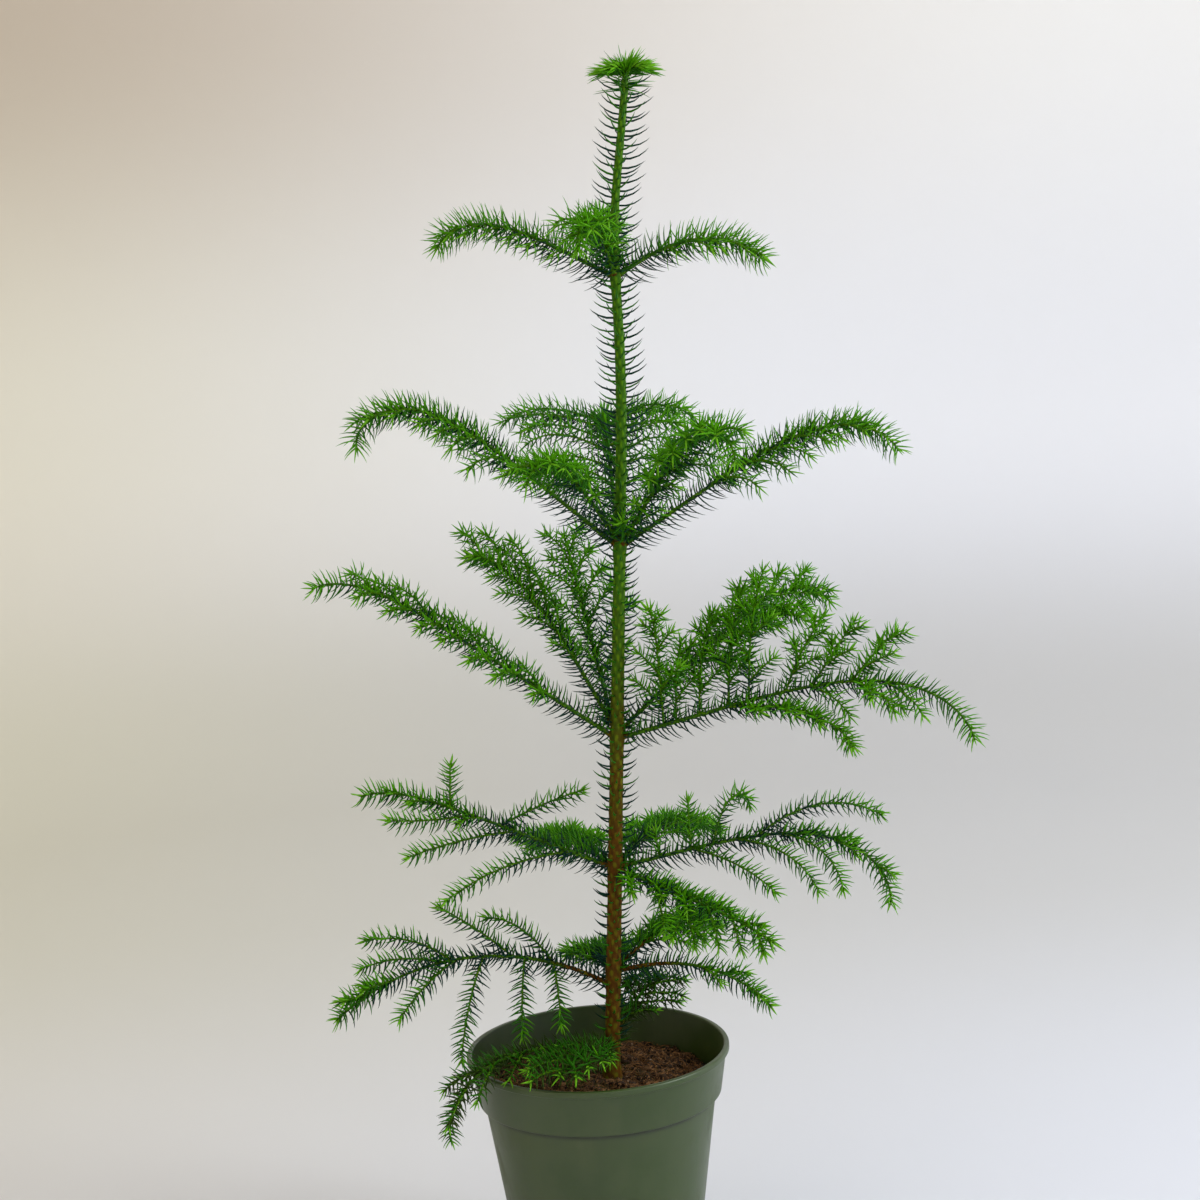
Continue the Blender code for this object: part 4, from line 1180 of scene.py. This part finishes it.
def sleeve_rows(sleeve, top, seed):
    """Long needles that stand off the trunk up to a height and curve up."""
    draw = np.random.default_rng(seed)
    low = TIER_HEIGHT[sleeve.tier] + ABOVE_TIER
    span = top - BELOW_TIER - low
    distance = np.arange(0.0, span, sleeve.pitch)
    count = len(distance)
    distance = distance + draw.uniform(-0.35, 0.35, count) * sleeve.pitch
    shares = np.clip(distance / span, 0.0, 1.0)
    radii = np.array([trunk_radius(low + span * share) for share in shares])
    rows, _ = spiral_rows(trunk_path(low, span), shares, radii, np.full(count, sleeve.length),
                          np.full(count, SLEEVE_GIRTH), sleeve.first, sleeve.last, draw, order=0.5)
    # Painted light: trunk needles turned towards the front (-Y) get the green colour, the rest get
    # the deep one as painted shade; a tenth picked at random are green too.
    lit = (draw.random(count) < 0.10) | (rows[:, OUTWARD][:, 1] < -0.55)
    return rows, np.where(lit, "green", "deep")


def whorl_rows():
    """Long needles that spread round the rosette: drooping at its foot, rising at its top."""
    draw = np.random.default_rng(WHORL_SEED)
    shares = np.linspace(0.0, 1.0, WHORL_COUNT)
    radii, lengths, girths = (np.full(WHORL_COUNT, value)
                              for value in (TRUNK_TIP_RADIUS, WHORL_LENGTH, WHORL_GIRTH))
    rows, _ = spiral_rows(trunk_path(TRUNK_TOP - WHORL_START, WHORL_SPAN), shares, radii,
                          lengths, girths,
                          np.linspace(92, 48, WHORL_COUNT), np.linspace(112, 36, WHORL_COUNT), draw)
    return rows, np.where(draw.random(WHORL_COUNT) < shares, "fresh", "green")


def all_needles(settings):
    """Rows of every needle, by group and kind, without those that would enter the pot or soil."""
    batches = []
    for shoot in grow():
        rows_of = bud_rows if shoot.rank == "bud" else shoot_rows
        batches.append((shoot.group, *rows_of(shoot, settings)))
    tops = [TRUNK_TOP, *TIER_HEIGHT.values()]
    for index, (sleeve, top) in enumerate(zip(SLEEVES, tops)):
        group = next(group for group, names in GROUP_SLEEVES.items() if sleeve.name in names)
        batches.append((group, *sleeve_rows(sleeve, top, SLEEVE_SEED + index)))
    batches.append(("upper", *whorl_rows()))
    gathered = {}
    for group, rows, kind in batches:
        clear = outside_pot(needle_tip(rows), 0.0006) & outside_pot(rows[:, FOOT], 0.0004)
        for name in ("deep", "mossy", "green", "fresh", "tip"):
            chosen = rows[clear & (kind == name)]
            if len(chosen):
                gathered.setdefault((group, name), []).append(chosen)
    return {key: np.concatenate(parts) for key, parts in gathered.items()}


class PINE_OT_stage(bpy.types.Operator):
    """Round paper sweep, soft lights and the camera of the reference view"""
    bl_idname = "pine.stage"
    bl_label = "Build stage"

    def execute(self, context):
        settings = context.scene.pine_stage
        self.sweep(settings)
        self.lights(context, settings)
        self.camera(context)
        return {"FINISHED"}

    def sweep(self, settings):
        floor, bend = settings.floor_radius, settings.bend_radius
        profile = [Vector((0.0, PAPER_LEVEL)), Vector((floor, PAPER_LEVEL))]
        for k in range(1, PAPER_BEND_STEPS + 1):
            angle = 0.5 * math.pi * k / PAPER_BEND_STEPS
            profile.append(Vector((floor + bend * math.sin(angle),
                                   PAPER_LEVEL + bend * (1 - math.cos(angle)))))
        profile.append(Vector((floor + bend, settings.wall_height)))
        paper = object_from(turned(profile, PAPER_STEPS), "paper_sweep")
        for polygon in paper.data.polygons:
            polygon.flip()
        paper.data.materials.append(self.paper_finish(settings).material)

    def paper_finish(self, settings):
        """Matt paper whose colour changes from left to right and up the wall, as painted light: a
        warm tint on the left, a cool one on the right, painted shade on the floor behind the pot,
        and a lighter wall.
        """
        finish = Finish("paper", 0.9, 0.2)
        across, height = finish.place("X"), finish.place("Z")
        side = finish.ramp(across, *PAPER_SIDE)
        # Painted light: a warm tint on the left and a cool tint on the right.
        low = finish.mix(side, settings.warm, settings.cool)
        back = finish.mix(side, settings.warm_back_shade, settings.cool_back_shade)
        wall = finish.mix(side, settings.warm_wall, settings.cool_wall)
        # Painted light at the top of the wall: darker on the left, brighter on the right.
        high = finish.mix(finish.ramp(across, *PAPER_TOP_SIDE), settings.warm_top,
                          settings.cool_top)
        # Painted shade: the floor behind the pot darker, fading out up the bend.
        behind = finish.math("MULTIPLY", finish.ramp(finish.place("Y"), *PAPER_BACK_SHADE),
                             finish.ramp(height, *PAPER_BACK_SHADE_FADE, 1.0, 0.0))
        # Painted light: the wall lighter than the floor.
        near = finish.mix(finish.ramp(height, *PAPER_WALL), finish.mix(behind, low, back), wall)
        finish.colour(finish.mix(finish.ramp(height, *PAPER_TOP), near, high))
        return finish

    def lights(self, context, settings):
        world = bpy.data.worlds.new("room")
        world.use_nodes = True
        room = world.node_tree.nodes["Background"].inputs
        room["Color"].default_value = ROOM_COLOUR
        room["Strength"].default_value = settings.sky
        context.scene.world = world
        for lamp, power in ((KEY, settings.key_power), (FILL, settings.fill_power)):
            light = bpy.data.lights.new(lamp.name, "AREA")
            light.shape = "DISK"
            light.size = lamp.size
            light.energy = power
            light.color = lamp.colour
            hung = new_object(lamp.name, light)
            hung.location = lamp.place
            hung.rotation_mode = "QUATERNION"
            hung.rotation_quaternion = (Vector(lamp.place) - LAMP_AIM).to_track_quat("Z", "Y")

    def camera(self, context):
        view = bpy.data.cameras.new("camera")
        view.lens = CAMERA_LENS
        view.sensor_width = CAMERA_SENSOR
        camera = new_object("camera", view)
        camera.matrix_world = (Matrix.Translation(CAMERA_PLACE)
                               @ Matrix.Rotation(-CAMERA_YAW, 4, "Z")
                               @ Matrix.Rotation(0.5 * math.pi - CAMERA_DOWN, 4, "X")
                               @ Matrix.Rotation(CAMERA_ROLL, 4, "Z"))
        context.scene.camera = camera
        context.scene.view_settings.view_transform = "Standard"


class PINE_OT_pot(bpy.types.Operator):
    """Moulded nursery pot with a rolled lip, a rim band and drain holes"""
    bl_idname = "pine.pot"
    bl_label = "Build pot"

    def execute(self, context):
        settings = context.scene.pine_pot
        inner_foot = BASE_RADIUS + BODY_SLOPE * FLOOR_THICKNESS - POT_WALL
        corners = (
            (0.0, FLOOR_THICKNESS, 0),
            (inner_foot, FLOOR_THICKNESS, 0.003),
            (BODY_TOP_RADIUS - POT_WALL, BODY_TOP_HEIGHT - POT_WALL, 0.001),
            (BAND_FOOT_RADIUS - POT_WALL, BAND_FOOT_HEIGHT + POT_WALL, 0.001),
            (BAND_TOP_RADIUS - POT_WALL, POT_HEIGHT, 0.0011),
            (LIP_RADIUS, POT_HEIGHT, 0.0013),
            (LIP_RADIUS, POT_HEIGHT - LIP_HEIGHT, 0.0009),
            (BAND_TOP_RADIUS - 0.0002, POT_HEIGHT - LIP_HEIGHT - 0.0002, 0.0005),
            (BAND_FOOT_RADIUS, BAND_FOOT_HEIGHT, 0.0008),
            (BODY_TOP_RADIUS, BODY_TOP_HEIGHT, 0.0012),
            (BASE_RADIUS, BASE_CHAMFER, 0.002),
            (BASE_RADIUS - BASE_CHAMFER, 0.0, 0.0008),
            (0.0, 0.0, 0),
        )
        pot = object_from(turned(round_profile(corners), settings.steps), "pot_shell")
        self.drill(pot)
        pot.data.set_sharp_from_angle(angle=SHARP_ANGLE)
        dress(pot, pot_finish(settings), "pot", "pot")
        return {"FINISHED"}

    def drill(self, pot):
        cutters = bpy.data.collections.new("pot_cutters")
        for index in range(DRAIN_HOLES):
            turn = 2 * math.pi * (index + 0.5) / DRAIN_HOLES
            place = (DRAIN_CIRCLE * math.cos(turn), DRAIN_CIRCLE * math.sin(turn),
                     0.5 * FLOOR_THICKNESS)
            bm = bmesh.new()
            bmesh.ops.create_cone(bm, cap_ends=True, segments=32, radius1=DRAIN_RADIUS,
                                  radius2=DRAIN_RADIUS, depth=4 * FLOOR_THICKNESS,
                                  matrix=Matrix.Translation(place))
            cutter = object_from(bm, f"drain_{index}")
            cutters.objects.link(cutter)
        cut = pot.modifiers.new("drain", "BOOLEAN")
        cut.operation = "DIFFERENCE"
        cut.operand_type = "COLLECTION"
        cut.collection = cutters
        baked(pot)
        for cutter in list(cutters.objects):
            bpy.data.objects.remove(cutter, do_unlink=True)
        bpy.data.collections.remove(cutters)


class PINE_OT_soil(bpy.types.Operator):
    """Peat bed with crumbs, fibres, bark flakes, moss and pale grains on it"""
    bl_idname = "pine.soil"
    bl_label = "Build soil"

    def execute(self, context):
        settings = context.scene.pine_soil
        peat = settings.dark, settings.light
        dry = settings.light, settings.fibre
        moss = settings.moss_dark, settings.moss_light
        for piece, name, tones, scale in (
                (self.bed(), "peat", peat, 240.0),
                (self.crumbs(settings.chips, CHIPS), "peat_crumbs", peat, 160.0),
                (self.fibres(settings.fibres), "peat_fibres", dry, 120.0),
                (self.crumbs(settings.flakes, FLAKES), "bark_flakes", dry, 200.0),
                (self.moss(settings.blades), "moss", moss, 260.0),
                (self.crumbs(settings.grains, GRAINS), "pale_grains",
                 (settings.fibre, settings.grain), 300.0)):
            dress(piece, soil_finish(name, settings, *tones, scale), "soil", "soil")
        return {"FINISHED"}

    @staticmethod
    def surface(x, y):
        """Height of the bed at a place."""
        radius = math.hypot(x, y)
        away = clamped((radius - SOIL_PAD_RADIUS) / SOIL_PAD_FADE)
        lumps = sum(noise.noise(Vector((x, y, level)) * rate) * height
                    for rate, level, height in SOIL_LUMPS)
        return soil_top(radius) + lumps * tapered(SOIL_PAD_LUMPS, 1.0, away)

    def bed(self):
        floor = FLOOR_THICKNESS + GAP
        wall = POT_WALL + GAP
        top_radius = BAND_FOOT_RADIUS - wall
        profile = [Vector((radius, SOIL_HEIGHT)) for radius in even(0.0, top_radius, 57)]
        profile += [Vector((top_radius, soil_top(BODY_TOP_RADIUS) - SOIL_RIM_DROP)),
                    Vector((BODY_TOP_RADIUS - wall, BODY_TOP_HEIGHT - wall)),
                    Vector((BASE_RADIUS + BODY_SLOPE * floor - wall, floor)), Vector((0.0, floor))]
        bm = turned(profile, 160)
        for vert in bm.verts:
            if vert.co.z > SOIL_HEIGHT - 1e-6:
                vert.co.z = self.surface(vert.co.x, vert.co.y)
        return object_from(bm, "soil_bed")

    def scatter(self, count, seed, margin):
        """Places on the bed, clear of the trunk's foot."""
        draw = random.Random(seed)
        places = []
        limit = BAND_FOOT_RADIUS - POT_WALL - margin
        while len(places) < count:
            radius = limit * math.sqrt(draw.random())
            turn = draw.uniform(0.0, 2 * math.pi)
            x, y = radius * math.cos(turn), radius * math.sin(turn)
            if math.hypot(x - TRUNK_FOOT_X, y) > trunk_radius(SOIL_HEIGHT) + 0.001:
                places.append(Vector((x, y, self.surface(x, y))))
        return places

    def crumbs(self, count, kind):
        """Lumpy flattened crumbs, most of them small, tipped a little and sunk in."""
        bm = bmesh.new()
        bmesh.ops.create_icosphere(bm, subdivisions=1, radius=1.0)
        points, triangles = template_from(bm)
        draw = np.random.default_rng(kind.seed)
        places = []
        for spot in self.scatter(count, kind.seed, kind.most):
            size = tapered(kind.least, kind.most, draw.random() ** 2.2)
            spin = Matrix.Rotation(draw.uniform(0, 6.28), 3, "Z")
            turn = spin @ Matrix.Rotation(draw.normal(0, 0.45), 3, "X")
            sides = np.array((1.0, draw.uniform(0.5, 0.9), kind.flat * draw.uniform(0.5, 1.0)))
            lumpy = points * (1.0 + draw.uniform(-0.24, 0.24, (len(points), 1)))
            shape = (lumpy * sides * size) @ np.array(turn).T
            places.append(shape + np.array(spot) + np.array((0, 0, 0.15 * size)))
        return joined_copies(kind.name, np.array(places), triangles)

    def moss(self, count):
        """Short blades in tufts round the foot of the trunk."""
        points, triangles = template_from(ringed_cone(3, 0.1, 3, capped=False))
        up = points[:, 2] + 0.5
        draw = np.random.default_rng(MOSS_SEED)
        tufts = [(TRUNK_FOOT_X + draw.normal(-0.012, 0.020), draw.normal(-0.004, 0.020))
                 for _ in range(MOSS_TUFTS)]
        places = []
        for _ in range(count):
            middle = tufts[draw.integers(len(tufts))]
            x, y = middle[0] + draw.normal(0.0, 0.0032), middle[1] + draw.normal(0.0, 0.0032)
            length, girth = draw.uniform(0.0018, 0.0048), draw.uniform(0.00016, 0.00034)
            lean, turn = abs(draw.normal(0.0, 0.75)), draw.uniform(0.0, 2 * math.pi)
            to_trunk = math.hypot(x - TRUNK_FOOT_X, y)
            if to_trunk < MOSS_BARE_RADIUS or math.hypot(x, y) > MOSS_OUTER_RADIUS:
                continue
            out = length * math.sin(lean) * up ** 1.4
            level = self.surface(x, y) - 0.0004 + length * math.cos(lean) * up
            places.append(np.column_stack((x + out * math.cos(turn) + points[:, 0] * girth,
                                           y + out * math.sin(turn) + points[:, 1] * girth, level)))
        return joined_copies("soil_moss", np.array(places), triangles)

    def fibres(self, count):
        """Thin curled fibres that follow the bed and arch off it in the middle."""
        points, triangles = template_from(ringed_cone(3, 1.0, 5))
        along = points[:, 2] + 0.5
        draw = np.random.default_rng(FIBRE_SEED)
        limit = BAND_FOOT_RADIUS - POT_WALL - 0.001
        places = []
        for spot in self.scatter(count, FIBRE_SEED, 0.004):
            length = draw.uniform(0.004, 0.016)
            turn = draw.uniform(0, 2 * math.pi)
            heading = turn + draw.uniform(-1.6, 1.6) * (along - 0.5)
            x = spot.x + length * (along - 0.5) * np.cos(heading)
            y = spot.y + length * (along - 0.5) * np.sin(heading)
            girth = draw.uniform(0.00014, 0.00044) * (1.0 - 0.5 * np.abs(2 * along - 1.0))
            shrink = np.minimum(1.0, limit / np.maximum(np.hypot(x, y), 1e-6))
            x, y = x * shrink, y * shrink
            level = np.array([self.surface(px, py) for px, py in zip(x, y)])
            arch = draw.uniform(0.0002, 0.0034) * np.sin(math.pi * along)
            across = points[:, 0] * girth
            places.append(np.column_stack((x - across * math.sin(turn), y + across * math.cos(turn),
                                           level + arch + 0.0002 + points[:, 1] * girth)))
        return joined_copies("soil_fibres", np.array(places), triangles)


def cushion_relief(heights, radius, pitch, seed):
    """Relief on a stem, from 0 to 1: one cushion under each needle of a golden-angle spiral."""
    draw = np.random.default_rng(seed)
    count = int((heights[-1] - heights[0]) / pitch)
    spots = heights[0] + (np.arange(count) + draw.uniform(-0.3, 0.3, count)) * pitch
    angles = np.arange(count) * GOLDEN_ANGLE
    rim = CUSHION_RIM * radius

    def relief(ring, angle):
        gap = heights[ring] - spots
        near = np.abs(gap) < 3 * CUSHION_LENGTH
        if not near.any():
            return 0.0
        gap = gap[near]
        tall = np.where(gap > 0, 0.45 * CUSHION_LENGTH, CUSHION_LENGTH)
        turn = (angles[near] - angle + math.pi) % (2 * math.pi) - math.pi
        across = turn * radius / (CUSHION_WIDTH * rim)
        return float(np.exp(-(gap / tall) ** 2 - across ** 2).max())

    return relief


class PINE_OT_bark(bpy.types.Operator):
    """Trunk, boughs and twigs with the relief of their bark"""
    bl_idname = "pine.bark"
    bl_label = "Build bark"

    def execute(self, context):
        settings = context.scene.pine_bark
        finish = bark_finish(settings)
        dress(self.trunk(settings), finish, "bark", "trunk")
        shoots = grow()
        dress(self.boughs(shoots, settings), finish, "bark", *nodes_named("bough_"))
        dress(self.twigs(shoots), finish, "bark", *nodes_named("spray_"))
        return {"FINISHED"}

    def trunk(self, settings):
        heights = even(SOIL_HEIGHT - TRUNK_IN_SOIL, TRUNK_TOP, TRUNK_RINGS)
        knots = [TIER_HEIGHT[key] for key in "abcde"]
        radii = []
        for height in heights:
            swell = sum(math.exp(-((height - knot) / KNOT_SPREAD) ** 2) for knot in knots)
            radii.append(min(trunk_radius(height), TRUNK_WIDEST) + KNOT_SWELL * swell)
        cushions = cushion_relief(heights, 0.0036, 0.0009, 61)
        points = [trunk_point(height) for height in heights]
        places, faces = tube(points, radii, TRUNK_SIDES, cushions, settings.relief, level=True)
        bark = Joined()
        young = [clamped((height - TRUNK_OLD_HEIGHT) / TRUNK_AGEING) for height in heights]
        bark.add(places, faces, young)
        return bark.finish("trunk_bark")

    def boughs(self, shoots, settings):
        bark = Joined()
        for shoot in shoots:
            if shoot.rank != "bough":
                continue
            start = max(0.0, shoot.first - BOUGH_IN_TRUNK / shoot.length)
            span = shoot.length * (shoot.last - start)
            rings = max(8, round(span / BOUGH_RING_PITCH))
            distances = even(0.0, span, rings)
            radii = [BOUGH_ROOT_RADIUS + (BOUGH_TIP_RADIUS - BOUGH_ROOT_RADIUS) * k / (rings - 1)
                     + COLLAR_SWELL * math.exp(-distance / COLLAR_SPREAD)
                     for k, distance in enumerate(distances)]
            cushions = cushion_relief(distances, BOUGH_ROOT_RADIUS, 0.0010, shoot.seed)
            places, faces = tube(stretch(shoot.path, start, shoot.last, rings), radii, BOUGH_SIDES,
                                 cushions, 0.5 * settings.relief)
            old = BOUGH_OLD_LENGTH[shoot.tier]
            young = [clamped((distance - 0.3 * old) / old) for distance in distances]
            bark.add(places, faces, young)
        return bark.finish("bough_bark")

    def twigs(self, shoots):
        bark = Joined()
        for shoot in shoots:
            if shoot.rank == "bough":
                continue
            rings = max(4, round(shoot.length * shoot.last / TWIG_RING_PITCH))
            radii = even(TWIG_ROOT_RADIUS, TWIG_TIP_RADIUS, rings)
            places, faces = tube(stretch(shoot.path, 0.0, shoot.last, rings), radii, TWIG_SIDES)
            bark.add(places, faces, even(TWIG_YOUTH, 1.0, rings))
        return bark.finish("twig_stems")


class PINE_OT_needles(bpy.types.Operator):
    """Needles of every twig, bough, trunk stretch and bud, joined by kind and height"""
    bl_idname = "pine.needles"
    bl_label = "Build needles"

    def execute(self, context):
        settings = context.scene.pine_needles
        template = needle_template()
        finishes = {kind: needle_finish("needle_" + kind, getattr(settings, kind))
                    for kind in ("deep", "mossy", "green", "fresh", "tip")}
        for (group, kind), rows in sorted(all_needles(settings).items()):
            piece = needle_object(f"needles_{group}_{kind}", rows, settings, template)
            names = nodes_named(*(f"spray_{tier}_" for tier in GROUP_TIERS[group]))
            names += ["needles_" + name for name in GROUP_SLEEVES[group]]
            if group == "upper":
                names.append("spray_top")
            dress(piece, finishes[kind], "needles", *names)
        return {"FINISHED"}


class PINE_PT_panel(bpy.types.Panel):
    """Builders and settings of the potted pine"""
    bl_label = "Potted pine"
    bl_space_type = "VIEW_3D"
    bl_region_type = "UI"
    bl_category = "Pine"

    def draw(self, context):
        layout = self.layout
        for key, operator, kind in BUILDERS:
            box = layout.box()
            box.operator(operator.bl_idname)
            group = getattr(context.scene, key)
            for name in kind.__annotations__:
                box.prop(group, name)


BUILDERS = (
    ("pine_stage", PINE_OT_stage, PineStageSettings),
    ("pine_pot", PINE_OT_pot, PinePotSettings),
    ("pine_soil", PINE_OT_soil, PineSoilSettings),
    ("pine_bark", PINE_OT_bark, PineBarkSettings),
    ("pine_needles", PINE_OT_needles, PineNeedleSettings),
)


def register():
    for key, operator, settings in BUILDERS:
        bpy.utils.register_class(settings)
        bpy.utils.register_class(operator)
        setattr(bpy.types.Scene, key, PointerProperty(type=settings))
    bpy.utils.register_class(PINE_PT_panel)


def unregister():
    bpy.utils.unregister_class(PINE_PT_panel)
    for key, operator, settings in reversed(BUILDERS):
        delattr(bpy.types.Scene, key)
        bpy.utils.unregister_class(operator)
        bpy.utils.unregister_class(settings)


def main():
    register()
    bpy.ops.pine.stage()
    bpy.ops.pine.pot()
    bpy.ops.pine.soil()
    bpy.ops.pine.bark()
    bpy.ops.pine.needles()
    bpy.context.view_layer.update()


if __name__ == "__main__":
    main()
